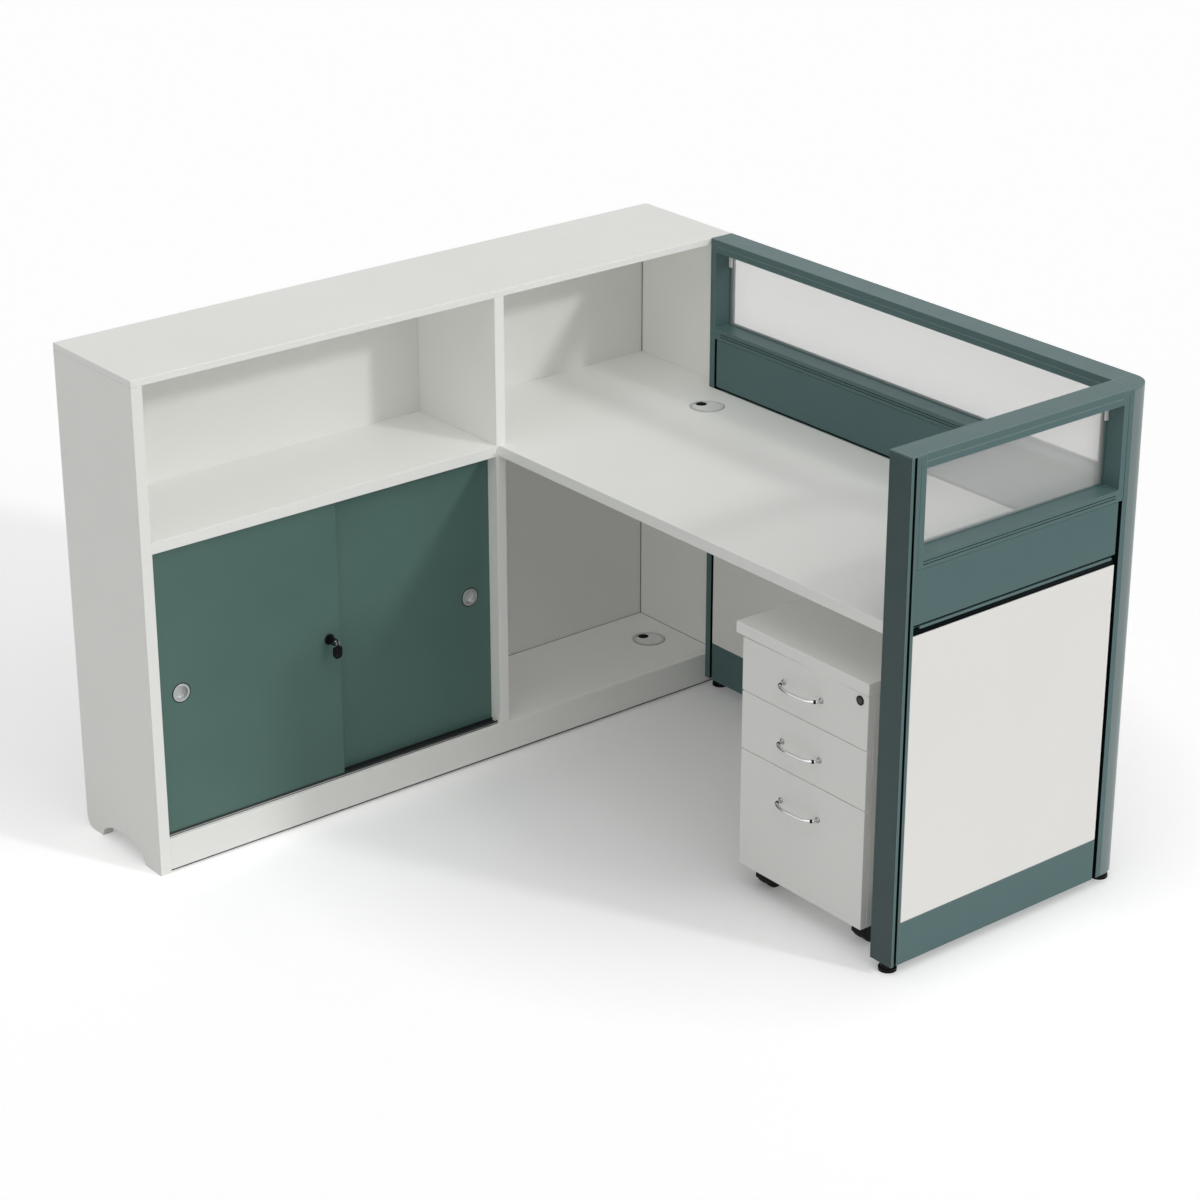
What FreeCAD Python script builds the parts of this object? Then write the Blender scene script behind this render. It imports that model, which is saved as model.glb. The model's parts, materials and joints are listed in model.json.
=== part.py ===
import FreeCAD, Part
import os
from FreeCAD import Vector

# Cubicle workstation: a long storage cabinet, a desk that runs into it, two partitions joined at a
# corner post, and a mobile pedestal under the desk. Millimetres, +Z up. The origin is on the floor,
# under the middle of the whole footprint. +X runs from the cabinet towards the end partition, and
# +Y from the user's side towards the long partition.

# Overall sizes
cabinet_length = 1560.0
cabinet_depth = 300.0
station_height = 1100.0
desk_length = 1200.0
desk_depth = 600.0
desk_height = 750.0
partition_thickness = 60.0

# Boards
board_thickness = 25.0
top_board_thickness = 15.0
back_thickness = 18.0
plinth_height = 80.0
plinth_floor_gap = 8.0
divider_setback = 7.0
arch_half_width = 87.0
arch_height = 41.0
heel_radius = 28.0

# Sliding doors and their tracks
door_thickness = 16.0
door_overlap = 36.0
door_end_gap = 1.0
door_side_play = 0.75
door_foot_gap = 0.3
door_top_engagement = 6.0
track_wall = 1.5
track_base = 2.0
track_height = 8.0
track_setback = 10.0
guide_groove_depth = 12.0

# Finger pulls
pull_flange_radius = 20.0
pull_flange_proud = 1.2
pull_cup_radius = 16.0
pull_cup_depth = 11.0
pull_wall = 1.0
pull_edge_distance = 55.0
pull_height = 398.0

# Push lock of the doors
lock_height = 414.0
lock_edge_distance = 27.0
lock_flange_radius = 12.0
lock_flange_proud = 3.0
lock_sleeve_radius = 9.5
plunger_radius = 8.0
plunger_proud = 24.0
plunger_travel = 12.0
running_clearance = 0.05
bolt_radius = 4.0
bolt_end_setback = 0.5
strike_hole_radius = 8.0
strike_hole_depth = 12.0
core_radius = 5.0
core_length = 14.0
key_blade_thickness = 2.0
key_fork_length = 9.0
key_fork_width = 9.0
key_fork_height = 7.0
key_pin_radius = 1.2
key_head_width = 22.0
key_head_length = 27.0
key_head_thickness = 4.5
key_neck_width = 4.0
key_ring_hole_radius = 2.5

# Inner shelf behind the doors
inner_shelf_height = 372.0
inner_shelf_end_gap = 1.0
inner_shelf_door_gap = 8.0
shelf_pin_radius = 2.5
shelf_pin_depth = 10.0
shelf_pin_reach = 9.0
shelf_pin_inset = 45.0

# Cable grommets
grommet_flange_radius = 40.0
grommet_flange_thickness = 2.5
grommet_rebate_clearance = 0.3
grommet_sleeve_radius = 35.0
grommet_wall = 2.0
grommet_sleeve_depth = 19.0
grommet_cap_thickness = 3.0
grommet_cap_gap = 0.4
grommet_ledge = 3.0
grommet_notch_radius = 13.0
grommet_notch_offset = 20.0
desk_grommet_cabinet_distance = 97.0
desk_grommet_partition_distance = 90.0
bay_grommet_end_distance = 84.0

# Desk brackets
bracket_width = 40.0
bracket_leg = 55.0
bracket_thickness = 3.0
bracket_inset = 150.0

# Partition frame. At each end of a partition the lip is the upright's outer strip, and the tile and
# the window start at their edge distances from the end.
foot_height = 22.0
free_lip_width = 7.0
free_slot_width = 7.0
free_tile_edge = 21.0
free_window_edge = 39.0
cabinet_lip_width = 16.0
post_lip_width = 13.0
post_window_edge = 26.0
joined_tile_edge = 24.0
slot_depth = 18.0
upright_wall = 2.5
upright_foot_block = 20.0
cap_plate_thickness = 3.0
top_rail_height = 30.0
window_share = 0.612
sill_height = 24.0
sill_groove_drops = (11.0, 17.0)
sill_groove_size = 2.0
glazing_face_width = 13.5
glazing_line = 1.5
rail_line_gap = 5.0
light_rail_height = 5.0
shadow_joint_height = 13.0
shadow_joint_depth = 20.0
kickplate_top = 115.0
kickplate_wall = 2.0
tile_joint = 1.0
tile_thickness = 9.0
tile_lap = 9.0
tile_edge_radius = 1.2
rail_overlap = 16.0
rail_wall = 3.0
bottom_rail_height = 60.0
glass_thickness = 5.0
glass_setback = 47.0
glass_lap = 6.0
post_radius = 50.0
post_wall = 3.0

# Levelling feet
foot_pad_radius = 19.0
foot_pad_height = 8.0
foot_shoulder_radius = 11.0
foot_stem_radius = 5.0
foot_stem_depth = 16.0
foot_top_gap = 0.5
free_end_foot_inset = 20.0
cabinet_side_foot_inset = 22.0

# Pedestal
pedestal_width = 366.0
pedestal_depth = 500.0
pedestal_overhang = 22.0
pedestal_partition_gap = 46.0
pedestal_setback = 15.0
pedestal_top_height = 597.0
pedestal_top_thickness = 25.0
pedestal_floor_gap = 55.0
pedestal_board = 16.0
front_gap = 3.0
front_back_gap = 1.0
lower_front_share = 0.5106
middle_front_share = 0.2476
box_back_clearance = 48.0
box_wall = 12.0
box_floor = 6.0
box_lift = 25.0
upper_box_headroom = 21.0
middle_box_headroom = 23.0
lower_box_headroom = 39.0

# Drawer runners
runner_side_gap = 13.0
runner_height = 35.0
runner_back_gap = 20.0
runner_sheet = 1.5
runner_play = 0.4
runner_box_gap = 1.0
runner_lift = 12.0

# Bow handles
handle_spacing = 110.0
handle_wire_radius = 3.5
handle_reach = 28.0
handle_bend_radius = 14.0
handle_base_radius = 7.0
handle_base_height = 3.0
handle_offset = 5.0
upper_handle_drop = 56.0
middle_handle_drop = 68.0
lower_handle_drop = 70.0

# Drawer lock
drawer_lock_inset = 23.0
drawer_lock_drop = 14.0
drawer_lock_flange_radius = 10.0
drawer_lock_flange_proud = 2.0
drawer_lock_barrel_radius = 9.0
drawer_lock_plug_radius = 6.0
drawer_lock_slot_length = 8.0
drawer_lock_slot_width = 1.6
drawer_lock_slot_depth = 3.0
cam_length = 14.0
cam_half_width = 4.0
cam_thickness = 2.0
cam_gap = 0.5

# Casters
caster_radius = 25.0
caster_wheel_width = 14.0
caster_web = 6.0
caster_wheel_gap = 1.0
caster_hood_gap = 1.0
caster_hood_wall = 2.0
caster_axle_radius = 3.0
caster_trail = 18.0
caster_stem_radius = 5.0
caster_stem_depth = 14.0
caster_top_gap = 1.0
caster_inset_side = 38.0
caster_inset_front = 40.0
caster_hub_radius = 14.0
caster_hub_recess = 1.5

overrun = 1.0

# Planes shared by the pieces
x_back = -(cabinet_depth + desk_length + partition_thickness) / 2
x_front = x_back + cabinet_depth
x_desk_end = x_front + desk_length
x_outer = x_desk_end + partition_thickness
y_left = -cabinet_length / 2
y_right = y_left + cabinet_length
y_inner = y_right - partition_thickness
y_desk_front = y_inner - desk_depth
x_back_inside = x_back + back_thickness
y_left_inside = y_left + board_thickness
y_right_inside = y_right - board_thickness
y_divider = y_desk_front - divider_setback
y_bay = y_divider + board_thickness
x_plinth = x_front - back_thickness
z_top_board = station_height - top_board_thickness
z_desk_under = desk_height - board_thickness

# Door planes, from the cabinet's front inwards
channel_pitch = door_thickness + 2 * door_side_play + track_wall
x_track_front = x_front - track_setback
x_front_door = x_track_front - track_wall - door_side_play - door_thickness
x_rear_door = x_front_door - channel_pitch
x_track_back = x_rear_door - door_side_play - track_wall
door_bottom = plinth_height + track_base + door_foot_gap
door_top = z_desk_under + door_top_engagement
door_width = (y_divider - y_left_inside + door_overlap) / 2 - door_end_gap
y_front_door = y_left_inside + door_end_gap
y_rear_door = y_divider - door_end_gap - door_width
y_lock = y_front_door + door_width - lock_edge_distance
x_door_face = x_front_door + door_thickness
x_rear_face = x_rear_door + door_thickness
y_front_pull = y_front_door + pull_edge_distance
y_rear_pull = y_rear_door + door_width - pull_edge_distance
x_inner_shelf_front = x_rear_door - inner_shelf_door_gap
shelf_pin_length = shelf_pin_depth + shelf_pin_reach

# Partition planes
upright_top = station_height - cap_plate_thickness
window_top = station_height - top_rail_height
upper_tile_bottom = desk_height + rail_line_gap
sill_top = window_top - (window_top - sill_height - upper_tile_bottom) * window_share
sill_bottom = sill_top - sill_height
fin_bottom = desk_height - light_rail_height
lower_tile_top = fin_bottom - shadow_joint_height
lower_tile_bottom = kickplate_top + tile_joint
line_top = window_top + glazing_face_width + glazing_line

# Pedestal planes
x_pedestal_right = x_desk_end - pedestal_partition_gap
x_pedestal_left = x_pedestal_right - pedestal_width
y_pedestal = y_desk_front + pedestal_setback
y_carcase = y_pedestal + pedestal_board + front_back_gap
y_pedestal_back = y_pedestal + pedestal_depth
z_slab = pedestal_top_height - pedestal_top_thickness
box_depth = pedestal_depth - 2 * pedestal_board - box_back_clearance
runner_length = box_depth - runner_back_gap
lower_front_height = (z_slab - pedestal_floor_gap) * lower_front_share
middle_front_height = (z_slab - pedestal_floor_gap) * middle_front_share
x_box_left = x_pedestal_left + pedestal_board + runner_side_gap
x_box_right = x_pedestal_right - pedestal_board - runner_side_gap
z_middle_front = pedestal_floor_gap + lower_front_height + front_gap
z_upper_front = z_middle_front + middle_front_height + front_gap
upper_front_height = z_slab - front_gap - z_upper_front

ALONG_X = Vector(1, 0, 0)
ALONG_Y = Vector(0, 1, 0)
UP = Vector(0, 0, 1)


def block(x0, x1, y0, y1, z0, z1):
    return Part.makeBox(x1 - x0, y1 - y0, z1 - z0, Vector(x0, y0, z0))


def disc(radius, height, point, axis=UP):
    return Part.makeCylinder(radius, height, point, axis)


def group(solids):
    return Part.makeCompound(solids)


def mirrored(shape, x_middle):
    return shape.mirror(Vector(x_middle, 0, 0), ALONG_X)


def round_edges(shape, radius, chosen):
    edges = [edge for edge in shape.Edges if chosen(edge.BoundBox)]
    return shape.makeFillet(radius, edges)


# Cabinet boards
def end_panel(y0):
    panel = block(x_back, x_front, y0, y0 + board_thickness, 0, z_top_board)
    panel = round_edges(panel, heel_radius, lambda b: b.ZMax < overrun and b.XMax < x_back + overrun)
    ellipse = Part.Ellipse(Vector(0, 0, 0), arch_half_width, arch_height).toShape()
    arch = Part.Face(Part.Wire(ellipse)).extrude(UP * (board_thickness + 2 * overrun))
    arch.rotate(Vector(0, 0, 0), ALONG_X, 90)
    arch.translate(Vector((x_back + x_front) / 2, y0 + board_thickness + overrun, 0))
    return panel.cut(arch)


def shelf_pin_places():
    places = []
    for x in (x_back_inside + shelf_pin_inset, x_inner_shelf_front - shelf_pin_inset):
        places.append((x, y_left_inside - shelf_pin_depth))
        places.append((x, y_divider - shelf_pin_reach))
    return places


def shelf_pins():
    z = inner_shelf_height - shelf_pin_radius
    return group([disc(shelf_pin_radius, shelf_pin_length, Vector(x, y, z), ALONG_Y)
                  for x, y in shelf_pin_places()])


def cabinet_left_end():
    return end_panel(y_left).cut(shelf_pins())


def cabinet_right_end():
    return end_panel(y_right_inside)


def cabinet_divider():
    board = block(x_back_inside, x_front, y_divider, y_bay, plinth_height, z_top_board)
    return board.cut(shelf_pins())


def cabinet_top():
    return block(x_back, x_front, y_left, y_right, z_top_board, station_height)


def guide_groove():
    return block(x_track_back, x_track_front, y_left_inside, y_divider,
                 z_desk_under, z_desk_under + guide_groove_depth)


def niche_shelf():
    board = block(x_back_inside, x_front, y_left_inside, y_divider, z_desk_under, desk_height)
    return board.cut(guide_groove())


def cabinet_floor():
    board = block(x_back_inside, x_plinth, y_left_inside, y_right_inside,
                  plinth_height - board_thickness, plinth_height)
    return board.cut(grommet_hole(bay_grommet_place(), board_thickness))


def cabinet_back():
    return block(x_back, x_back_inside, y_left_inside, y_right_inside, plinth_height, z_top_board)


def plinth_rails():
    return group([block(x0, x0 + back_thickness, y_left_inside, y_right_inside,
                        plinth_floor_gap, plinth_height) for x0 in (x_back, x_plinth)])


def inner_shelf():
    return block(x_back_inside, x_inner_shelf_front, y_left_inside + inner_shelf_end_gap,
                 y_divider - inner_shelf_end_gap, inner_shelf_height, inner_shelf_height + board_thickness)


# Door tracks: an E-shaped section below, and the same section turned over in the shelf's groove
def e_section(z0, height, base_at_top):
    track = block(x_track_back, x_track_front, y_left_inside, y_divider, z0, z0 + height)
    low = z0 - overrun if base_at_top else z0 + track_base
    high = z0 + height - track_base if base_at_top else z0 + height + overrun
    for x_door in (x_front_door, x_rear_door):
        channel = block(x_door - door_side_play, x_door + door_thickness + door_side_play,
                        y_left_inside - overrun, y_divider + overrun, low, high)
        track = track.cut(channel)
    return track


def door_tracks():
    return group([e_section(plinth_height, track_height, False),
                  e_section(z_desk_under, guide_groove_depth, True)])


# Sliding doors
def pull_cup_cut(x_face, y):
    return disc(pull_cup_radius, pull_cup_depth + overrun,
                Vector(x_face - pull_cup_depth, y, pull_height), ALONG_X)


def pull_cup(x_face, y):
    flange = disc(pull_flange_radius, pull_flange_proud, Vector(x_face, y, pull_height), ALONG_X)
    flange = round_edges(flange, pull_flange_proud / 2, lambda b: b.XMin > x_face + pull_flange_proud / 2)
    cup = disc(pull_cup_radius, pull_cup_depth, Vector(x_face - pull_cup_depth, y, pull_height), ALONG_X)
    hollow = disc(pull_cup_radius - pull_wall, pull_cup_depth + pull_flange_proud,
                  Vector(x_face - pull_cup_depth + pull_wall, y, pull_height), ALONG_X)
    hollow = round_edges(hollow, pull_wall, lambda b: b.XMax < x_face)
    return flange.fuse(cup).cut(hollow).removeSplitter()


def door(x0, y0):
    return block(x0, x0 + door_thickness, y0, y0 + door_width, door_bottom, door_top)


def front_door():
    hole = disc(lock_sleeve_radius, door_thickness + 2 * overrun,
                Vector(x_front_door - overrun, y_lock, lock_height), ALONG_X)
    return door(x_front_door, y_front_door).cut([pull_cup_cut(x_door_face, y_front_pull), hole])


def rear_door():
    strike = disc(strike_hole_radius, strike_hole_depth + overrun,
                  Vector(x_rear_face - strike_hole_depth, y_lock, lock_height), ALONG_X)
    return door(x_rear_door, y_rear_door).cut([pull_cup_cut(x_rear_face, y_rear_pull), strike])


def front_door_pull():
    return pull_cup(x_door_face, y_front_pull)


def rear_door_pull():
    return pull_cup(x_rear_face, y_rear_pull)


# Push lock: a sleeve through the door, a plunger with the bolt on its back end, and a key in it
def lock_point(x):
    return Vector(x, y_lock, lock_height)


def push_lock_housing():
    sleeve = disc(lock_sleeve_radius, door_thickness, lock_point(x_front_door), ALONG_X)
    flange = disc(lock_flange_radius, lock_flange_proud, lock_point(x_door_face), ALONG_X)
    half_proud = lock_flange_proud / 2
    flange = round_edges(flange, half_proud, lambda b: b.XMin > x_door_face + half_proud)
    bore = disc(plunger_radius + running_clearance, door_thickness + lock_flange_proud + 2 * overrun,
                lock_point(x_front_door - overrun), ALONG_X)
    return sleeve.fuse(flange).cut(bore).removeSplitter()


x_plunger_end = x_door_face + plunger_proud
x_bolt_end = x_front_door + bolt_end_setback
x_bolt_root = x_bolt_end + plunger_travel
x_core_back = x_plunger_end - core_length


def push_lock_plunger():
    barrel = disc(plunger_radius, x_plunger_end - x_bolt_root, lock_point(x_bolt_root), ALONG_X)
    barrel = round_edges(barrel, plunger_radius / 4, lambda b: b.XMin > x_plunger_end - overrun)
    bolt = disc(bolt_radius, plunger_travel, lock_point(x_bolt_end), ALONG_X)
    bore = disc(core_radius + running_clearance, core_length + overrun, lock_point(x_core_back), ALONG_X)
    return barrel.fuse(bolt).cut(bore).removeSplitter()


x_fork_end = x_plunger_end + key_fork_length
x_key_pivot = x_fork_end - key_head_thickness / 2


def key_core():
    core = disc(core_radius, core_length, lock_point(x_core_back), ALONG_X)
    half_width = key_fork_width / 2
    half_height = key_fork_height / 2
    fork = block(x_plunger_end, x_fork_end, y_lock - half_width, y_lock + half_width,
                 lock_height - half_height, lock_height + half_height)
    tip_edges = lambda b: b.XMin > x_fork_end - overrun and b.YLength > half_width
    fork = round_edges(fork, half_height / 2, tip_edges)
    slot_half = key_neck_width / 2 + running_clearance
    slot = block(x_plunger_end + key_blade_thickness, x_fork_end + overrun, y_lock - slot_half,
                 y_lock + slot_half, lock_height - key_fork_height, lock_height + key_fork_height)
    pin_start = Vector(x_key_pivot, y_lock - half_width, lock_height)
    pin = disc(key_pin_radius, key_fork_width, pin_start, ALONG_Y)
    return core.fuse([fork.cut(slot), pin]).removeSplitter()


def key_head():
    half = key_head_width / 2
    z_head_top = lock_height - key_fork_height
    z_head_bottom = z_head_top - key_head_length
    x0 = x_key_pivot - key_head_thickness / 2
    head = block(x0, x0 + key_head_thickness, y_lock - half, y_lock + half, z_head_bottom, z_head_top)
    through = lambda b: b.XLength > overrun and b.YLength < overrun
    head = round_edges(head, half - overrun, lambda b: through(b) and b.ZMax < z_head_bottom + overrun)
    head = round_edges(head, half / 2, lambda b: through(b) and b.ZMin > z_head_top - overrun)
    hole = disc(key_ring_hole_radius, key_head_thickness + 2 * overrun,
                Vector(x0 - overrun, y_lock, z_head_bottom + half / 2), ALONG_X)
    eye_start = Vector(x_key_pivot, y_lock - key_neck_width / 2, lock_height)
    eye = disc(key_head_thickness / 2, key_neck_width, eye_start, ALONG_Y)
    neck = block(x0, x0 + key_head_thickness, y_lock - key_neck_width / 2, y_lock + key_neck_width / 2,
                 z_head_top - overrun, lock_height)
    bore_start = Vector(x_key_pivot, y_lock - key_neck_width, lock_height)
    bore = disc(key_pin_radius + running_clearance, 2 * key_neck_width, bore_start, ALONG_Y)
    return head.cut(hole).fuse([eye, neck]).cut(bore).removeSplitter()


# Cable grommets
def desk_grommet_place():
    return Vector(x_front + desk_grommet_cabinet_distance, y_inner - desk_grommet_partition_distance,
                  desk_height)


def bay_grommet_place():
    return Vector((x_back + x_front) / 2, y_right_inside - bay_grommet_end_distance, plinth_height)


def grommet_hole(place, thickness):
    through = disc(grommet_sleeve_radius, thickness + 2 * overrun, place - UP * (thickness + overrun))
    rebate = disc(grommet_flange_radius + grommet_rebate_clearance, grommet_flange_thickness + overrun,
                  place - UP * grommet_flange_thickness)
    return through.fuse(rebate)


def grommet_ring(place):
    sleeve = disc(grommet_sleeve_radius, grommet_sleeve_depth, place - UP * grommet_sleeve_depth)
    flange = disc(grommet_flange_radius, grommet_flange_thickness, place - UP * grommet_flange_thickness)
    half_thickness = grommet_flange_thickness / 2
    flange = round_edges(flange, half_thickness, lambda b: b.ZMin > place.z - half_thickness)
    bore_radius = grommet_sleeve_radius - grommet_wall
    pocket = disc(bore_radius, grommet_cap_thickness + overrun, place - UP * grommet_cap_thickness)
    throat = disc(bore_radius - grommet_ledge, grommet_sleeve_depth + 2 * overrun,
                  place - UP * (grommet_sleeve_depth + overrun))
    return sleeve.fuse(flange).cut([pocket, throat]).removeSplitter()


def grommet_rings():
    return group([grommet_ring(desk_grommet_place()), grommet_ring(bay_grommet_place())])


def grommet_cap(place):
    radius = grommet_sleeve_radius - grommet_wall - grommet_cap_gap
    seat = place - UP * grommet_cap_thickness
    cap = disc(radius, grommet_cap_thickness, seat)
    notch_centre = seat - ALONG_X * grommet_notch_offset - UP * overrun
    notch = disc(grommet_notch_radius, grommet_cap_thickness + 2 * overrun, notch_centre)
    notch_mouth = block(notch_centre.x - radius, notch_centre.x,
                        notch_centre.y - grommet_notch_radius, notch_centre.y + grommet_notch_radius,
                        notch_centre.z, notch_centre.z + grommet_cap_thickness + 2 * overrun)
    return cap.cut([notch, notch_mouth])


def desk_grommet_cap():
    return grommet_cap(desk_grommet_place())


def bay_grommet_cap():
    return grommet_cap(bay_grommet_place())


# Desk
def desk_top():
    outside = block(x_front, x_desk_end, y_desk_front, y_inner, z_desk_under, desk_height)
    inside = block(x_back_inside, x_front, y_bay, y_right_inside, z_desk_under, desk_height)
    top = outside.fuse(inside).removeSplitter()
    return top.cut(grommet_hole(desk_grommet_place(), board_thickness))


def bracket(point, turn):
    corner = [Vector(0, 0, 0), Vector(bracket_leg, 0, 0), Vector(bracket_leg, 0, -bracket_thickness),
              Vector(bracket_thickness, 0, -bracket_thickness), Vector(bracket_thickness, 0, -bracket_leg),
              Vector(0, 0, -bracket_leg), Vector(0, 0, 0)]
    angle = Part.Face(Part.makePolygon(corner)).extrude(ALONG_Y * bracket_width)
    rib_corner = [Vector(bracket_thickness, 0, -bracket_thickness),
                  Vector(bracket_leg - bracket_thickness, 0, -bracket_thickness),
                  Vector(bracket_thickness, 0, bracket_thickness - bracket_leg),
                  Vector(bracket_thickness, 0, -bracket_thickness)]
    rib = Part.Face(Part.makePolygon(rib_corner)).extrude(ALONG_Y * bracket_thickness)
    rib.translate(ALONG_Y * (bracket_width - bracket_thickness) / 2)
    piece = angle.fuse(rib).removeSplitter()
    piece.translate(-ALONG_Y * bracket_width / 2)
    piece.rotate(Vector(0, 0, 0), UP, turn)
    piece.translate(point)
    return piece


def desk_brackets():
    z = z_desk_under
    y_middle = (y_desk_front + y_inner) / 2
    x_bay_middle = (x_back_inside + x_front) / 2
    return group([bracket(Vector(x_front + bracket_inset, y_inner, z), -90),
                  bracket(Vector((x_front + x_desk_end) / 2, y_inner, z), -90),
                  bracket(Vector(x_desk_end - bracket_inset, y_inner, z), -90),
                  bracket(Vector(x_desk_end, y_desk_front + bracket_inset, z), 180),
                  bracket(Vector(x_desk_end, y_middle + bracket_inset, z), 180),
                  bracket(Vector(x_bay_middle, y_bay, z), 90),
                  bracket(Vector(x_bay_middle, y_right_inside, z), -90)])


# Partitions. Each piece is drawn along +X from zero, with its thickness along +Y and the face that
# the window is deep on at y = 0, and then set in place.
def place_long(shape):
    shape.translate(Vector(x_front, y_inner, 0))
    return shape


def place_end(shape):
    shape.rotate(Vector(0, 0, 0), UP, 90)
    shape.translate(Vector(x_outer, y_desk_front, 0))
    return shape


def both_faces(x0, x1, depth, z0, z1):
    near = block(x0, x1, 0, depth, z0, z1)
    far = block(x0, x1, partition_thickness - depth, partition_thickness, z0, z1)
    return [near, far]


def upright(lip, slot_end, slot_top, tile_edge, window_edge):
    width = max(window_edge, tile_edge + tile_lap)
    profile = block(0, width, 0, partition_thickness, foot_height, upright_top)
    cuts = both_faces(lip, slot_end, slot_depth, foot_height - overrun, slot_top)
    cuts += both_faces(tile_edge, width + overrun, tile_thickness, foot_height - overrun, sill_bottom)
    line_end = window_edge - glazing_face_width
    cuts += both_faces(line_end - glazing_line, line_end, glazing_line, sill_bottom, line_top)
    cavity_wall = slot_depth + upright_wall
    cuts.append(block(upright_wall, window_edge - upright_wall,
                      cavity_wall, partition_thickness - cavity_wall,
                      foot_height + upright_foot_block, upright_top + overrun))
    cuts.append(block(window_edge, width + overrun, -overrun, partition_thickness + overrun,
                      sill_top, upright_top + overrun))
    cuts.append(block(window_edge - glass_lap, width + overrun,
                      glass_setback, glass_setback + glass_thickness,
                      sill_top - glass_lap, window_top + glass_lap))
    return profile.cut(cuts)


def free_upright():
    return upright(free_lip_width, free_lip_width + free_slot_width, upright_top + overrun,
                   free_tile_edge, free_window_edge)


def cabinet_upright():
    return upright(cabinet_lip_width, joined_tile_edge, sill_bottom, joined_tile_edge, cabinet_lip_width)


def post_upright():
    return upright(post_lip_width, joined_tile_edge, sill_bottom, joined_tile_edge, post_window_edge)


def foot_bore(place):
    return disc(foot_stem_radius + running_clearance, foot_stem_depth + overrun + foot_top_gap,
                Vector(place.x, place.y, foot_height - overrun))


def long_uprights():
    solids = [place_long(cabinet_upright()), place_long(mirrored(cabinet_upright(), desk_length / 2))]
    return group([solid.cut(foot_bore(cabinet_side_foot_place())) for solid in solids])


def end_uprights():
    solids = [place_end(free_upright()), place_end(mirrored(post_upright(), desk_depth / 2))]
    return group([solid.cut(foot_bore(free_end_foot_place())) for solid in solids])


def top_cap(length, start, finish):
    plate = block(0, length, 0, partition_thickness, upright_top, station_height)
    inside = length - finish
    beam = block(start, inside, 0, partition_thickness, window_top, upright_top)
    cuts = [block(start, inside, glass_setback, glass_setback + glass_thickness,
                  window_top - overrun, window_top + glass_lap),
            block(start - overrun, inside + overrun, rail_wall, partition_thickness - rail_wall,
                  window_top + glass_lap + rail_wall, upright_top)]
    cuts += both_faces(start, inside, glazing_line, line_top - glazing_line, line_top)
    return plate.fuse(beam.cut(cuts)).removeSplitter()


def sill_rail(length, start, finish):
    inside = length - finish
    rail = block(start, inside, 0, partition_thickness, sill_bottom, sill_top)
    cuts = [block(start, inside, glass_setback, glass_setback + glass_thickness,
                  sill_top - glass_lap, sill_top + overrun),
            block(start - overrun, inside + overrun, rail_wall, partition_thickness - rail_wall,
                  sill_bottom + rail_wall, sill_top - glass_lap - rail_wall)]
    for drop in sill_groove_drops:
        z = sill_top - drop
        cuts += both_faces(start, inside, sill_groove_size, z, z + sill_groove_size)
    return rail.cut(cuts)


def glass_pane(length, start, finish):
    return block(start - glass_lap, length - finish + glass_lap, glass_setback,
                 glass_setback + glass_thickness, sill_top - glass_lap, window_top + glass_lap)


def tiles(length, start, finish, z0, z1):
    pair = []
    for tile in both_faces(start, length - finish, tile_thickness, z0, z1):
        middle = partition_thickness / 2
        outer_y = tile.BoundBox.YMin if tile.BoundBox.YMax < middle else tile.BoundBox.YMax
        on_face = lambda b: b.YLength < overrun and abs(b.YMin - outer_y) < overrun / 2
        pair.append(round_edges(tile, tile_edge_radius, on_face))
    return pair


def tube_hollow(x0, x1, z0, z1):
    wall = tile_thickness + rail_wall
    return block(x0 - overrun, x1 + overrun, wall, partition_thickness - wall, z0 + rail_wall, z1 - rail_wall)


def middle_rail(start, inside):
    y1 = partition_thickness - tile_thickness
    low = lower_tile_top - rail_overlap
    high = upper_tile_bottom + rail_overlap
    rail = block(start, inside, tile_thickness, y1, low, high)
    hollows = [tube_hollow(start, inside, low, lower_tile_top), tube_hollow(start, inside, fin_bottom, high)]
    joints = both_faces(start, inside, shadow_joint_depth, lower_tile_top, fin_bottom)
    fin = both_faces(start, inside, tile_thickness, fin_bottom, desk_height)
    return rail.cut(joints + hollows).fuse(fin).removeSplitter()


def bottom_rail(start, inside):
    low = kickplate_top - bottom_rail_height
    high = lower_tile_bottom + rail_overlap
    rail = block(start, inside, tile_thickness, partition_thickness - tile_thickness, low, high)
    return rail.cut(tube_hollow(start, inside, low, high))


def inner_rails_of(length, start, finish):
    return [middle_rail(start, length - finish), bottom_rail(start, length - finish)]


def kickplates_of(length, start, finish):
    inside = length - finish
    plates = []
    for plate in both_faces(start, inside, tile_thickness, foot_height, kickplate_top):
        box = plate.BoundBox
        near = box.YMax < partition_thickness / 2
        y0 = box.YMin + kickplate_wall if near else box.YMin - overrun
        y1 = box.YMax + overrun if near else box.YMax - kickplate_wall
        hollow = block(start - overrun, inside + overrun, y0, y1,
                       foot_height + kickplate_wall, kickplate_top - kickplate_wall)
        plates.append(plate.cut(hollow))
    return plates


def both_panels(piece, cabinet_end, post_end, free_end, *sizes):
    long_pieces = piece(desk_length, cabinet_end, cabinet_end, *sizes)
    end_pieces = piece(desk_depth, free_end, post_end, *sizes)
    return group([place_long(solid) for solid in long_pieces] + [place_end(solid) for solid in end_pieces])


window_edges = (cabinet_lip_width, post_window_edge, free_window_edge)
tile_edges = (joined_tile_edge, joined_tile_edge, free_tile_edge)
joined_width = joined_tile_edge + tile_lap
upright_edges = (joined_width, joined_width, free_window_edge)


def top_caps():
    return both_panels(lambda *sizes: [top_cap(*sizes)], *window_edges)


def sill_rails():
    return both_panels(lambda *sizes: [sill_rail(*sizes)], *upright_edges)


def glass_panes():
    return both_panels(lambda *sizes: [glass_pane(*sizes)], *window_edges)


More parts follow.
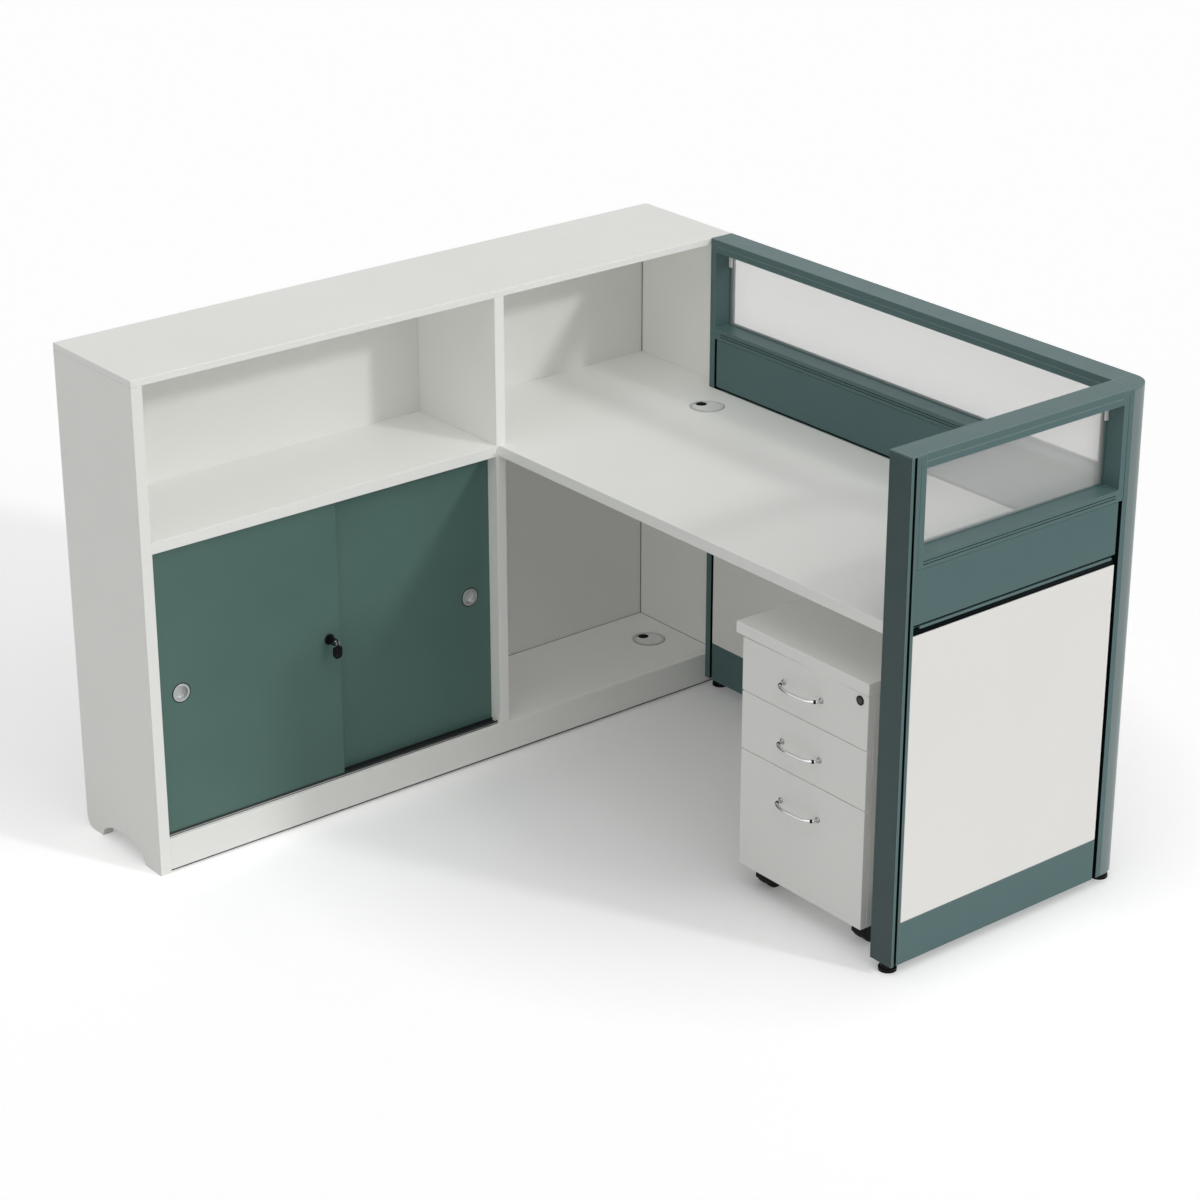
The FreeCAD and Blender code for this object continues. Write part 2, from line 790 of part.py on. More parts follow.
def upper_tiles():
    return both_panels(tiles, *tile_edges, upper_tile_bottom, sill_bottom - tile_joint)


def lower_tiles():
    return both_panels(tiles, *tile_edges, lower_tile_bottom, lower_tile_top)


def inner_rails():
    return both_panels(inner_rails_of, *upright_edges)


def kickplates():
    return both_panels(kickplates_of, *tile_edges)


# Corner post: a square tube with its outer corner well rounded, and a cap let into it
def post_section(z0, z1, wall):
    section = block(x_desk_end + wall, x_outer - wall, y_inner + wall, y_right - wall, z0, z1)
    reach = wall + overrun
    at_corner = lambda b: b.XMin > x_outer - reach and b.YMin > y_right - reach
    return round_edges(section, post_radius - wall, at_corner)


def corner_post():
    hollow = post_section(foot_height + upright_foot_block, upright_top + overrun, post_wall)
    return post_section(foot_height, upright_top, 0).cut([hollow, foot_bore(corner_foot_place())])


def corner_post_cap():
    plug = post_section(upright_top - upright_foot_block, upright_top, post_wall)
    return post_section(upright_top, station_height, 0).fuse(plug).removeSplitter()


# Levelling feet
def cabinet_side_foot_place():
    return Vector(x_front + cabinet_side_foot_inset, (y_inner + y_right) / 2, 0)


def corner_foot_place():
    return Vector((x_desk_end + x_outer) / 2, (y_inner + y_right) / 2, 0)


def free_end_foot_place():
    return Vector((x_desk_end + x_outer) / 2, y_desk_front + free_end_foot_inset, 0)


def levelling_foot(place):
    pad = disc(foot_pad_radius, foot_pad_height, place)
    pad = round_edges(pad, foot_pad_height / 4, lambda b: b.ZMin > foot_pad_height - overrun)
    shoulder = Part.makeCone(foot_pad_radius - foot_pad_height / 2, foot_shoulder_radius,
                             foot_height - foot_pad_height - foot_top_gap, place + UP * foot_pad_height)
    stem = disc(foot_stem_radius, foot_stem_depth + foot_top_gap, place + UP * (foot_height - foot_top_gap))
    return pad.fuse([shoulder, stem]).removeSplitter()


def cabinet_side_foot():
    return levelling_foot(cabinet_side_foot_place())


def corner_foot():
    return levelling_foot(corner_foot_place())


def free_end_foot():
    return levelling_foot(free_end_foot_place())


# Pedestal
def caster_places():
    xs = (x_pedestal_left + caster_inset_side, x_pedestal_right - caster_inset_side)
    ys = (y_pedestal + caster_inset_front, y_pedestal_back - caster_inset_front - caster_trail)
    return {"front_left": Vector(xs[0], ys[0], 0), "front_right": Vector(xs[1], ys[0], 0),
            "back_left": Vector(xs[0], ys[1], 0), "back_right": Vector(xs[1], ys[1], 0)}


def pedestal_top():
    return block(x_pedestal_left - pedestal_overhang, x_pedestal_right, y_pedestal, y_pedestal_back,
                 z_slab, pedestal_top_height)


def pedestal_carcase():
    x0 = x_pedestal_left + pedestal_board
    x1 = x_pedestal_right - pedestal_board
    left = block(x_pedestal_left, x0, y_carcase, y_pedestal_back, pedestal_floor_gap, z_slab)
    right = block(x1, x_pedestal_right, y_carcase, y_pedestal_back, pedestal_floor_gap, z_slab)
    back = block(x0, x1, y_pedestal_back - pedestal_board, y_pedestal_back, pedestal_floor_gap, z_slab)
    floor = block(x0, x1, y_carcase, y_pedestal_back - pedestal_board,
                  pedestal_floor_gap, pedestal_floor_gap + pedestal_board)
    bores = [disc(caster_stem_radius + running_clearance, caster_stem_depth + overrun,
                  place + UP * (pedestal_floor_gap - overrun)) for place in caster_places().values()]
    return group([left, right, back, floor.cut(bores)])


def runner_channel(x_wall, side, z0):
    reach = side * (runner_side_gap - runner_box_gap)
    x0, x1 = sorted((x_wall, x_wall + reach))
    y0 = y_carcase + pedestal_board
    channel = block(x0, x1, y0, y0 + runner_length, z0, z0 + runner_height)
    h0, h1 = sorted((x_wall + side * runner_sheet, x_wall + reach + side * overrun))
    hollow = block(h0, h1, y0 - overrun, y0 + runner_length + overrun,
                   z0 + runner_sheet, z0 + runner_height - runner_sheet)
    return channel.cut(hollow)


def runner_slide(x_wall, side, z0):
    inset = runner_sheet + runner_play
    x0, x1 = sorted((x_wall + side * inset, x_wall + side * runner_side_gap))
    y0 = y_carcase + pedestal_board
    slide = block(x0, x1, y0, y0 + runner_length, z0 + inset, z0 + runner_height - inset)
    h0, h1 = sorted((x_wall + side * (inset - overrun), x_wall + side * (runner_side_gap - runner_sheet)))
    hollow = block(h0, h1, y0 - overrun, y0 + runner_length + overrun,
                   z0 + inset + runner_sheet, z0 + runner_height - inset - runner_sheet)
    return slide.cut(hollow)


def drawer_floors():
    return {"upper": z_upper_front + box_lift, "middle": z_middle_front + box_lift,
            "lower": pedestal_floor_gap + box_lift}


def runner_walls():
    return ((x_pedestal_left + pedestal_board, 1), (x_pedestal_right - pedestal_board, -1))


def pedestal_runners():
    return group([runner_channel(x_wall, side, z0 + runner_lift)
                  for z0 in drawer_floors().values() for x_wall, side in runner_walls()])


def drawer_front(z0, height):
    return block(x_pedestal_left, x_pedestal_right, y_pedestal, y_pedestal + pedestal_board,
                 z0, z0 + height)


def drawer_box(name, front_height, headroom):
    z0 = drawer_floors()[name]
    height = front_height - box_lift - headroom
    y0 = y_pedestal + pedestal_board
    box = block(x_box_left, x_box_right, y0, y0 + box_depth, z0, z0 + height)
    hollow = block(x_box_left + box_wall, x_box_right - box_wall, y0 + box_wall, y0 + box_depth - box_wall,
                   z0 + box_floor, z0 + height + overrun)
    slides = [runner_slide(x_wall, side, z0 + runner_lift) for x_wall, side in runner_walls()]
    return group([box.cut(hollow)] + slides)


def bow_handle(z):
    half = handle_spacing / 2
    x_middle = (x_pedestal_left + x_pedestal_right) / 2 - handle_offset
    grip_y = y_pedestal - handle_reach
    bend = handle_bend_radius
    bend_share = 0.5 ** 0.5
    inner = bend - bend * bend_share
    points = [Vector(-half, y_pedestal, z), Vector(-half, grip_y + bend, z),
              Vector(inner - half, grip_y + inner, z), Vector(bend - half, grip_y, z),
              Vector(half - bend, grip_y, z), Vector(half - inner, grip_y + inner, z),
              Vector(half, grip_y + bend, z), Vector(half, y_pedestal, z)]
    p = [point + ALONG_X * x_middle for point in points]
    edges = [Part.LineSegment(p[0], p[1]).toShape(), Part.Arc(p[1], p[2], p[3]).toShape(),
             Part.LineSegment(p[3], p[4]).toShape(), Part.Arc(p[4], p[5], p[6]).toShape(),
             Part.LineSegment(p[6], p[7]).toShape()]
    section = Part.Wire(Part.Circle(p[0], ALONG_Y, handle_wire_radius).toShape())
    bow = Part.Wire(edges).makePipeShell([section], True, False)
    bases = [disc(handle_base_radius, handle_base_height, end, -ALONG_Y) for end in (p[0], p[7])]
    return bow.fuse(bases).removeSplitter()


def upper_drawer_front():
    hole = disc(drawer_lock_barrel_radius, pedestal_board + 2 * overrun,
                drawer_lock_point(y_pedestal - overrun), ALONG_Y)
    return drawer_front(z_upper_front, upper_front_height).cut(hole)


def middle_drawer_front():
    return drawer_front(z_middle_front, middle_front_height)


def lower_drawer_front():
    return drawer_front(pedestal_floor_gap, lower_front_height)


def upper_drawer_handle():
    return bow_handle(z_upper_front + upper_front_height - upper_handle_drop)


def middle_drawer_handle():
    return bow_handle(z_middle_front + middle_front_height - middle_handle_drop)


def lower_drawer_handle():
    return bow_handle(pedestal_floor_gap + lower_front_height - lower_handle_drop)


# Drawer lock
def drawer_lock_point(y):
    z = z_upper_front + upper_front_height - drawer_lock_drop
    return Vector(x_pedestal_right - drawer_lock_inset, y, z)


def drawer_lock_housing():
    barrel = disc(drawer_lock_barrel_radius, pedestal_board, drawer_lock_point(y_pedestal), ALONG_Y)
    flange = disc(drawer_lock_flange_radius, drawer_lock_flange_proud,
                  drawer_lock_point(y_pedestal - drawer_lock_flange_proud), ALONG_Y)
    bore_length = pedestal_board + drawer_lock_flange_proud + 2 * overrun
    bore = disc(drawer_lock_plug_radius + running_clearance, bore_length,
                drawer_lock_point(y_pedestal - drawer_lock_flange_proud - overrun), ALONG_Y)
    return barrel.fuse(flange).cut(bore).removeSplitter()


def drawer_lock_plug():
    y0 = y_pedestal - drawer_lock_flange_proud
    y_cam = y_pedestal + pedestal_board + cam_gap
    start = drawer_lock_point(y0)
    plug = disc(drawer_lock_plug_radius, y_cam - y0, start, ALONG_Y)
    half_length = drawer_lock_slot_length / 2
    half_width = drawer_lock_slot_width / 2
    keyhole = block(start.x - half_width, start.x + half_width, y0 - overrun, y0 + drawer_lock_slot_depth,
                    start.z - half_length, start.z + half_length)
    cam = block(start.x - cam_length, start.x, y_cam, y_cam + cam_thickness,
                start.z - cam_half_width, start.z + cam_half_width)
    boss = disc(cam_half_width, cam_thickness, drawer_lock_point(y_cam), ALONG_Y)
    return plug.cut(keyhole).fuse([cam, boss]).removeSplitter()


# Casters: a hood with a web between two wheels, and the wheels on one axle
def caster_hood(place):
    axle = place + Vector(0, caster_trail, caster_radius)
    half_width = caster_web / 2 + caster_wheel_gap + caster_wheel_width
    outer = caster_radius + caster_hood_gap + caster_hood_wall
    start = axle - ALONG_X * half_width
    shell = disc(outer, 2 * half_width, start, ALONG_X)
    side_width = half_width - caster_web / 2
    wheel_room = caster_radius + caster_hood_gap
    rooms = [disc(wheel_room, side_width + overrun, start - ALONG_X * overrun, ALONG_X),
             disc(wheel_room, side_width + overrun, axle + ALONG_X * caster_web / 2, ALONG_X)]
    low_half = block(start.x - overrun, start.x + 2 * half_width + overrun, axle.y - outer, axle.y + outer,
                     axle.z - outer, axle.z - caster_axle_radius * 2)
    bore = disc(caster_axle_radius + running_clearance, 2 * half_width, start, ALONG_X)
    top = pedestal_floor_gap - caster_top_gap
    neck = disc(caster_stem_radius * 2, top - axle.z, Vector(place.x, place.y, axle.z))
    stem = disc(caster_stem_radius, caster_stem_depth + caster_top_gap, Vector(place.x, place.y, top))
    body = shell.cut(rooms).cut(low_half)
    neck = neck.cut(rooms)
    return body.fuse([neck, stem]).cut(bore).removeSplitter()


def caster_wheels(place):
    axle = place + Vector(0, caster_trail, caster_radius)
    reach = caster_web / 2 + caster_wheel_gap
    shaft = disc(caster_axle_radius, 2 * (reach + caster_wheel_width),
                 axle - ALONG_X * (reach + caster_wheel_width), ALONG_X)
    wheels = []
    for start, recess in ((-reach - caster_wheel_width, -reach - caster_wheel_width),
                          (reach, reach + caster_wheel_width - caster_hub_recess)):
        wheel = disc(caster_radius, caster_wheel_width, axle + ALONG_X * start, ALONG_X)
        wheel = round_edges(wheel, caster_hub_recess, lambda b: b.XLength < overrun)
        dish = disc(caster_hub_radius, caster_hub_recess, axle + ALONG_X * recess, ALONG_X)
        wheels.append(wheel.cut(dish))
    return shaft.fuse(wheels).removeSplitter()


nodes = {
    "cabinet_left_end": cabinet_left_end, "cabinet_right_end": cabinet_right_end,
    "cabinet_divider": cabinet_divider, "cabinet_top": cabinet_top, "niche_shelf": niche_shelf,
    "cabinet_floor": cabinet_floor, "cabinet_back": cabinet_back, "plinth_rails": plinth_rails,
    "inner_shelf": inner_shelf, "shelf_pins": shelf_pins, "door_tracks": door_tracks,
    "front_door": front_door, "front_door_pull": front_door_pull,
    "rear_door": rear_door, "rear_door_pull": rear_door_pull,
    "push_lock_housing": push_lock_housing, "push_lock_plunger": push_lock_plunger,
    "key_core": key_core, "key_head": key_head,
    "desk_top": desk_top, "desk_brackets": desk_brackets, "grommet_rings": grommet_rings,
    "desk_grommet_cap": desk_grommet_cap, "bay_grommet_cap": bay_grommet_cap,
    "long_uprights": long_uprights, "end_uprights": end_uprights, "top_caps": top_caps,
    "sill_rails": sill_rails, "glass_panes": glass_panes, "upper_tiles": upper_tiles,
    "lower_tiles": lower_tiles, "inner_rails": inner_rails, "kickplates": kickplates,
    "corner_post": corner_post, "corner_post_cap": corner_post_cap,
    "cabinet_side_foot": cabinet_side_foot, "corner_foot": corner_foot, "free_end_foot": free_end_foot,
    "pedestal_top": pedestal_top, "pedestal_carcase": pedestal_carcase,
    "pedestal_runners": pedestal_runners,
    "upper_drawer_front": upper_drawer_front, "middle_drawer_front": middle_drawer_front,
    "lower_drawer_front": lower_drawer_front,
    "upper_drawer_box": lambda: drawer_box("upper", upper_front_height, upper_box_headroom),
    "middle_drawer_box": lambda: drawer_box("middle", middle_front_height, middle_box_headroom),
    "lower_drawer_box": lambda: drawer_box("lower", lower_front_height, lower_box_headroom),
    "upper_drawer_handle": upper_drawer_handle, "middle_drawer_handle": middle_drawer_handle,
    "lower_drawer_handle": lower_drawer_handle,
    "drawer_lock_housing": drawer_lock_housing, "drawer_lock_plug": drawer_lock_plug,
}


def write(name, shape):
    if not shape.isValid():
        print("not valid:", name)
    box = shape.BoundBox
    print("%-22s %2d solids  x %.1f %.1f  y %.1f %.1f  z %.1f %.1f" % (
        name, len(shape.Solids), box.XMin, box.XMax, box.YMin, box.YMax, box.ZMin, box.ZMax))
    shape.exportStep(os.path.join("parts", name + ".step"))


os.makedirs("parts", exist_ok=True)
for name, make in nodes.items():
    write(name, make())
for corner, place in caster_places().items():
    write(corner + "_caster_hood", caster_hood(place))
    write(corner + "_caster_wheels", caster_wheels(place))
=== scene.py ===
import bmesh
import bpy
import json
import math
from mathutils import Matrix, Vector


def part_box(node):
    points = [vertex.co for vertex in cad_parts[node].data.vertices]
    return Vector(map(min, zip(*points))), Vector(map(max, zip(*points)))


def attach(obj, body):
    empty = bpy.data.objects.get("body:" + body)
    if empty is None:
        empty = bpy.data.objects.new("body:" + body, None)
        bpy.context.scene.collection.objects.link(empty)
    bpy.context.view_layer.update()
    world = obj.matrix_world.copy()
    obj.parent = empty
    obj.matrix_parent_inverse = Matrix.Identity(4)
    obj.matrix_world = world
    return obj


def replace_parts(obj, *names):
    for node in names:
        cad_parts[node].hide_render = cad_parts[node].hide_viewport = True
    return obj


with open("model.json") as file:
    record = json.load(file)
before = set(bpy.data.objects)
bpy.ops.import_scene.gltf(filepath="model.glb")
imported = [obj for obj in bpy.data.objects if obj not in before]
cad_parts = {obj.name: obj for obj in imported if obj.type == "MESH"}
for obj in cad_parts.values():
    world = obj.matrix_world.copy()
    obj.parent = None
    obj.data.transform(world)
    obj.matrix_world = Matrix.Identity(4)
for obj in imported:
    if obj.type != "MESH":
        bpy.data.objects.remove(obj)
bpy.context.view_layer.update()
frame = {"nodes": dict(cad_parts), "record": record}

# Cubicle workstation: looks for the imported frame. Metres, in the frame's own axes.
nodes = frame["nodes"]
slot_of = {part["node"]: part["material_slot"] for part in frame["record"]["subparts"]}

# Camera
camera_place = (4.6171, -3.7193, 3.1906)
camera_azimuth = 51.05
camera_elevation = 23.75
camera_lens = 94.57
camera_near = 0.05
camera_far = 200
sensor_width = 36.0

# Light. Each lamp has its strength, its angle in degrees, the way towards it and whether it casts shadows.
sky_strength = 0.265
lamps = {"key": (0.72, 5, (0.80, 0.37, 0.46), True),
         "soft_key": (0.50, 50, (0.80, 0.30, 0.48), True),
         "top_fill": (0.68, 60, (0.25, -0.15, 0.95), True),
         "open_fill": (0.415, 40, (0.50, -0.30, 0.80), False),
         "front_open": (0.26, 40, (0.15, -0.95, 0.28), False)}
# The camera sees a floor painted darker near floor_middle, a painted shade round the workstation, which
# turns paler and glows from floor_near to floor_far.
floor_middle = (-0.10, 0.45, 0.0)
floor_near = 0.5
floor_far = 1.1
floor_painted_shade = 0.95
floor_white = 1.0
floor_bounce = 0.72
floor_glow = 0.20
floor_half_side = 40.0
floor_roughness = 0.9

# Colours, linear
laminate_colour = (0.850, 0.852, 0.820)
band_colour = (0.854, 0.856, 0.826)
tile_colour = (0.830, 0.820, 0.792)
door_colour = (0.086, 0.158, 0.138)
door_edge_colour = (0.105, 0.165, 0.150)
paint_colour = (0.085, 0.150, 0.150)
# The frame's edge colour is lighter than its paint: a painted highlight on the bevelled edges.
paint_edge_highlight_colour = (0.120, 0.190, 0.190)
# A very dark teal for the free end face: painted shade, as that face is turned away from the key lamps.
end_shade_colour = (0.014, 0.042, 0.044)
# The corner post's colour is lighter than the frame paint: a painted highlight on its rounded corner.
post_highlight_colour = (0.160, 0.212, 0.208)
bead_colour = (0.10, 0.155, 0.155)
# Near black for a dark insert at each slot's bottom, and for painted shade in recesses, grooves, grommets,
# at the track and round the pulls.
insert_and_shade_colour = (0.004, 0.007, 0.008)
clip_colour = (0.80, 0.80, 0.78)
track_colour = (0.020, 0.024, 0.024)
steel_colour = (0.50, 0.50, 0.51)
pull_colour = (0.48, 0.49, 0.49)
chrome_colour = (0.62, 0.62, 0.63)
key_colour = (0.34, 0.34, 0.34)
base_colour = (0.30, 0.30, 0.30)
dark_metal_colour = (0.075, 0.072, 0.066)
lip_colour = (0.36, 0.37, 0.36)
black_colour = (0.004, 0.004, 0.005)
wheel_colour = (0.007, 0.007, 0.008)
grommet_colour = (0.74, 0.74, 0.72)
# A dark grey for lines where boards meet. In the cabinet's corners, under its top board and under its
# plinth these lines are painted shade.
joint_and_shade_colour = (0.09, 0.09, 0.09)
shell_colour = (0.66, 0.66, 0.63)
glass_colour = (0.83, 0.82, 0.80)
glass_alpha = 0.33

# Shares and grades of the surfaces' patterns
noise_from = 0.3
noise_to = 0.7
patch_detail = 4.0
grain_detail = 2.0
smudge_detail = 5.0
swell_detail = 1.0
smudge_share = 1 / 3
swell_share = 1 / 2
grain_share = 0.25
facing_share = 0.6
bright_rim_share = 1.03
haze_size = 0.25
haze_share = 0.015
smear_size = 0.06
glass_rough = (0.05, 0.11)
glass_shine = 0.35

# Rounded edges, and how round the small pieces are
board_edge = 0.0009
paint_edge = 0.0008
fine_edge = 0.0003
bead_edge = 0.0005
clip_edge = 0.0008
insert_edge = 0.0004
end_shade_edge = 0.0006
edge_steps = 2
turned_sides = 20
ring_sides = 48
wire_sides = 14
weld_distance = 0.00001
sharp_angle = math.radians(32)
flat_angle = math.radians(0.1)

# Windows of the partitions, and what holds their glass
cabinet_window_edge = 0.016
free_window_edge = 0.039
post_window_edge = 0.026
pane_thickness = 0.005
pane_setback = 0.047
bead_side = 0.003
bead_rail = 0.002
bead_depth = 0.003
clip_width = 0.008
clip_height = 0.042
clip_depth = 0.005

# Tiles, the joint between their rows and the grooves of the sill rail
tile_edge = 0.024
free_tile_edge = 0.021
tile_lap = 0.009
fin_height = 0.005
joint_setback = 0.003
joint_depth = 0.009
seam_shade_setback = 0.005
groove_size = 0.002
groove_drops = (0.011, 0.017)

# Slots of the uprights, from and to, along the partition
slot_depth = 0.018
shade_lining = 0.0006
mouth = 0.0010
free_slot = (0.007, 0.014)
cabinet_slot = (0.016, 0.024)
post_slot = (0.013, 0.024)
# The dark cover over the free end is painted shade.
end_shade_thickness = 0.0012
end_shade_margin = 0.0008

# Dark lines at the cabinet's joints, with painted shade in its corners and painted shadow at its track,
# door feet and plinth
line_size = 0.0012
fine_line = 0.0007
track_line = 0.0004
plinth_setback = 0.009
# The strip under the plinth is a painted contact shadow.
plinth_shadow_depth = 0.003
plinth_play = 0.00001
# The dark strips in front of the doors' feet are painted shadow.
door_shadow_play = 0.0001
door_shadow_depth = 0.0006
door_shadow_low = 0.004
door_shadow_high = 0.0064
lip_top = 0.0040
groove_shallow = 0.0004
groove_deep = 0.0012
groove_half = 0.0007

# Grommets, with heights counted from the top of the cap
line_radius = 0.0366
cap_radius = 0.0326
throat_radius = 0.030
sleeve_depth = 0.019
cap_depth = 0.0032
bead_width = 0.0016
bead_height = 0.0008
outline_width = 0.0011
cap_line_width = 0.0003
outline_height = 0.0002
notch_offset = 0.020
# The black disc under each cap's notch is painted shade.
notch_shade_radius = 0.0122
notch_shade_top = -0.0005
notch_shade_bottom = -0.0014
notch_shade_sides = 32

# Painted shade rings round the finger pulls
pull_shade_width = 0.0020
pull_shade_height = 0.0004

# Screws and brackets
screw_radius = 0.0042
screw_height = 0.0022
screw_sides = 16
screw_shares = [(1.0, 0.0), (1.0, 0.35), (0.8, 0.8), (0.4, 1.0), (0.38, 0.4)]
bracket_inset = 0.150
bracket_plate = 0.003
screw_spread = 0.012
screw_reach = 0.040
bay_middle = -0.621
bay_start = 0.138
drawer_board = 0.012

# Bow handles
handle_half = 0.055
handle_reach = 0.028
wire_radius = 0.0035
bow_power = 0.78
bow_steps = 40
# Black bands near the ends of each handle's grip: painted dark reflections.
painted_reflection_from = 0.36
painted_reflection_to = 0.52
painted_reflection_steps = 3
painted_reflection_radius = 0.0040
base_profile = [(0.0062, 0.0), (0.0062, 0.0012), (0.0046, 0.0030)]

# The strip over the upper drawer
strip_inset = 0.002
strip_setback = 0.0005
strip_depth = 0.003
strip_play = 0.0003

# Boards that touch each other inside one node keep their triangles
touching = ("pedestal_carcase",)
flattened = ("white_board", "door_board", "frame_paint", "blue_tile", "white_tile")


# Node helpers
def start(name):
    material = bpy.data.materials.new(name)
    material.use_nodes = True
    return material, material.node_tree, material.node_tree.nodes["Principled BSDF"]


def noise(tree, size, detail, stretch=(1, 1, 1)):
    place = tree.nodes.new("ShaderNodeTexCoord")
    mapping = tree.nodes.new("ShaderNodeMapping")
    texture = tree.nodes.new("ShaderNodeTexNoise")
    mapping.inputs["Scale"].default_value = stretch
    texture.inputs["Scale"].default_value = 1 / size
    texture.inputs["Detail"].default_value = detail
    tree.links.new(place.outputs["Object"], mapping.inputs["Vector"])
    tree.links.new(mapping.outputs["Vector"], texture.inputs["Vector"])
    return texture.outputs["Fac"]


def spread(tree, value, low, high, start_at=noise_from, end_at=noise_to):
    node = tree.nodes.new("ShaderNodeMapRange")
    node.inputs["From Min"].default_value = start_at
    node.inputs["From Max"].default_value = end_at
    node.inputs["To Min"].default_value = low
    node.inputs["To Max"].default_value = high
    tree.links.new(value, node.inputs["Value"])
    return node.outputs["Result"]


def mixed(tree, factor, first, second):
    node = tree.nodes.new("ShaderNodeMix")
    node.data_type = "RGBA"
    colours = [socket for socket in node.inputs if socket.type == "RGBA"]
    tree.links.new(factor, node.inputs[0])
    for socket, colour in zip(colours, (first, second)):
        if isinstance(colour, bpy.types.NodeSocket):
            tree.links.new(colour, socket)
        else:
            socket.default_value = (*colour, 1)
    return [socket for socket in node.outputs if socket.type == "RGBA"][0]


def shaded(colour, share):
    return tuple(channel * share for channel in colour)


def raised(tree, heights):
    """A chain of bumps from (value, depth in metres) pairs."""
    normal = None
    for value, depth in heights:
        node = tree.nodes.new("ShaderNodeBump")
        node.inputs["Distance"].default_value = depth
        tree.links.new(value, node.inputs["Height"])
        if normal:
            tree.links.new(normal, node.inputs["Normal"])
        normal = node.outputs["Normal"]
    return normal


def across(tree, axis):
    """One where the surface faces across the given axis, as a board's edges do, and zero on its faces."""
    place = tree.nodes.new("ShaderNodeTexCoord")
    dot = tree.nodes.new("ShaderNodeVectorMath")
    dot.operation = "DOT_PRODUCT"
    dot.inputs[1].default_value = axis
    size = tree.nodes.new("ShaderNodeMath")
    size.operation = "ABSOLUTE"
    less = tree.nodes.new("ShaderNodeMath")
    less.operation = "LESS_THAN"
    less.inputs[1].default_value = facing_share
    tree.links.new(place.outputs["Normal"], dot.inputs[0])
    tree.links.new(dot.outputs["Value"], size.inputs[0])
    tree.links.new(size.outputs[0], less.inputs[0])
    return less.outputs[0]


# Materials
def surface(name, colour, shade=0.04, patch=0.16, rough=(0.40, 0.52), grain=0.0012, relief=0.00002,
            swell=0.0, metal=0.0, shine=0.5, stretch=(1, 1, 1), band=None, band_axis=None):
    material, tree, shader = start(name)
    patches = noise(tree, patch, patch_detail)
    fine = noise(tree, grain, grain_detail, stretch)
    cloud = spread(tree, patches, 0.0, 1.0)
    tint = mixed(tree, cloud, shaded(colour, 1 - shade), shaded(colour, 1 + shade))
    tint = mixed(tree, spread(tree, fine, 0.0, grain_share), tint, shaded(colour, 1 - 2 * shade))
    if band_axis:
        tint = mixed(tree, across(tree, band_axis), tint, band)
    tree.links.new(tint, shader.inputs["Base Color"])
    smudge = noise(tree, patch * smudge_share, smudge_detail)
    tree.links.new(spread(tree, smudge, rough[0], rough[1]), shader.inputs["Roughness"])
    heights = [(fine, relief)]
    if swell:
        heights.append((noise(tree, patch * swell_share, swell_detail), swell))
    tree.links.new(raised(tree, heights), shader.inputs["Normal"])
    shader.inputs["Metallic"].default_value = metal
    shader.inputs["Specular IOR Level"].default_value = shine
    return material


def board_material(name, colour, band, axis):
    return surface(name, colour, shade=0.012, patch=0.35, rough=(0.42, 0.54), grain=0.0016,
                   relief=0.000018, swell=0.00012, shine=0.42, band=band, band_axis=axis)


def glass_material():
    material, tree, shader = start("film glass")
    haze = noise(tree, haze_size, patch_detail)
    tint = mixed(tree, spread(tree, haze, 0.0, 1.0), shaded(glass_colour, 1 - haze_share),
                 shaded(glass_colour, 1 + haze_share))
    tree.links.new(tint, shader.inputs["Base Color"])
    smear = noise(tree, smear_size, smudge_detail)
    tree.links.new(spread(tree, smear, *glass_rough), shader.inputs["Roughness"])
    shader.inputs["Alpha"].default_value = glass_alpha
    shader.inputs["Specular IOR Level"].default_value = glass_shine
    return material


axes = {"x": (1, 0, 0), "y": (0, 1, 0), "z": (0, 0, 1)}
laminate = {axis: board_material("white laminate " + axis, laminate_colour, band_colour, axes[axis])
            for axis in axes}
laminate_rim = surface("white laminate rim", band_colour, shade=0.01, rough=(0.36, 0.44), relief=0.00001)
door_face = surface("door laminate", door_colour, shade=0.05, patch=0.22, rough=(0.36, 0.47), grain=0.0011,
                    relief=0.00002, swell=0.00010, shine=0.20, band=door_edge_colour, band_axis=axes["x"])
door_rim = surface("door rim", door_edge_colour, shade=0.03, rough=(0.36, 0.44), relief=0.00001)
paint = surface("frame paint", paint_colour, shade=0.03, patch=0.20, rough=(0.38, 0.44), grain=0.0009,
                relief=0.000025, swell=0.00006, shine=0.25)
# A painted highlight: the bevelled edges of the frame, blue tiles and corner post are lighter than their
# faces.
paint_rim_highlight = surface("frame paint rim highlight", paint_edge_highlight_colour, shade=0.05, rough=(0.30, 0.40), relief=0.00001,
                    shine=0.7)
blue_tile = surface("blue tile", paint_colour, shade=0.06, patch=0.30, rough=(0.36, 0.48), grain=0.0012,
                    relief=0.00002, swell=0.00012, shine=0.20)
# A painted highlight: the corner post is painted lighter than the rest of the frame.
post_highlight_paint = surface("post paint highlight", post_highlight_colour, shade=0.03, patch=0.20, rough=(0.31, 0.35), grain=0.0012,
                     relief=0.000010, shine=0.45)
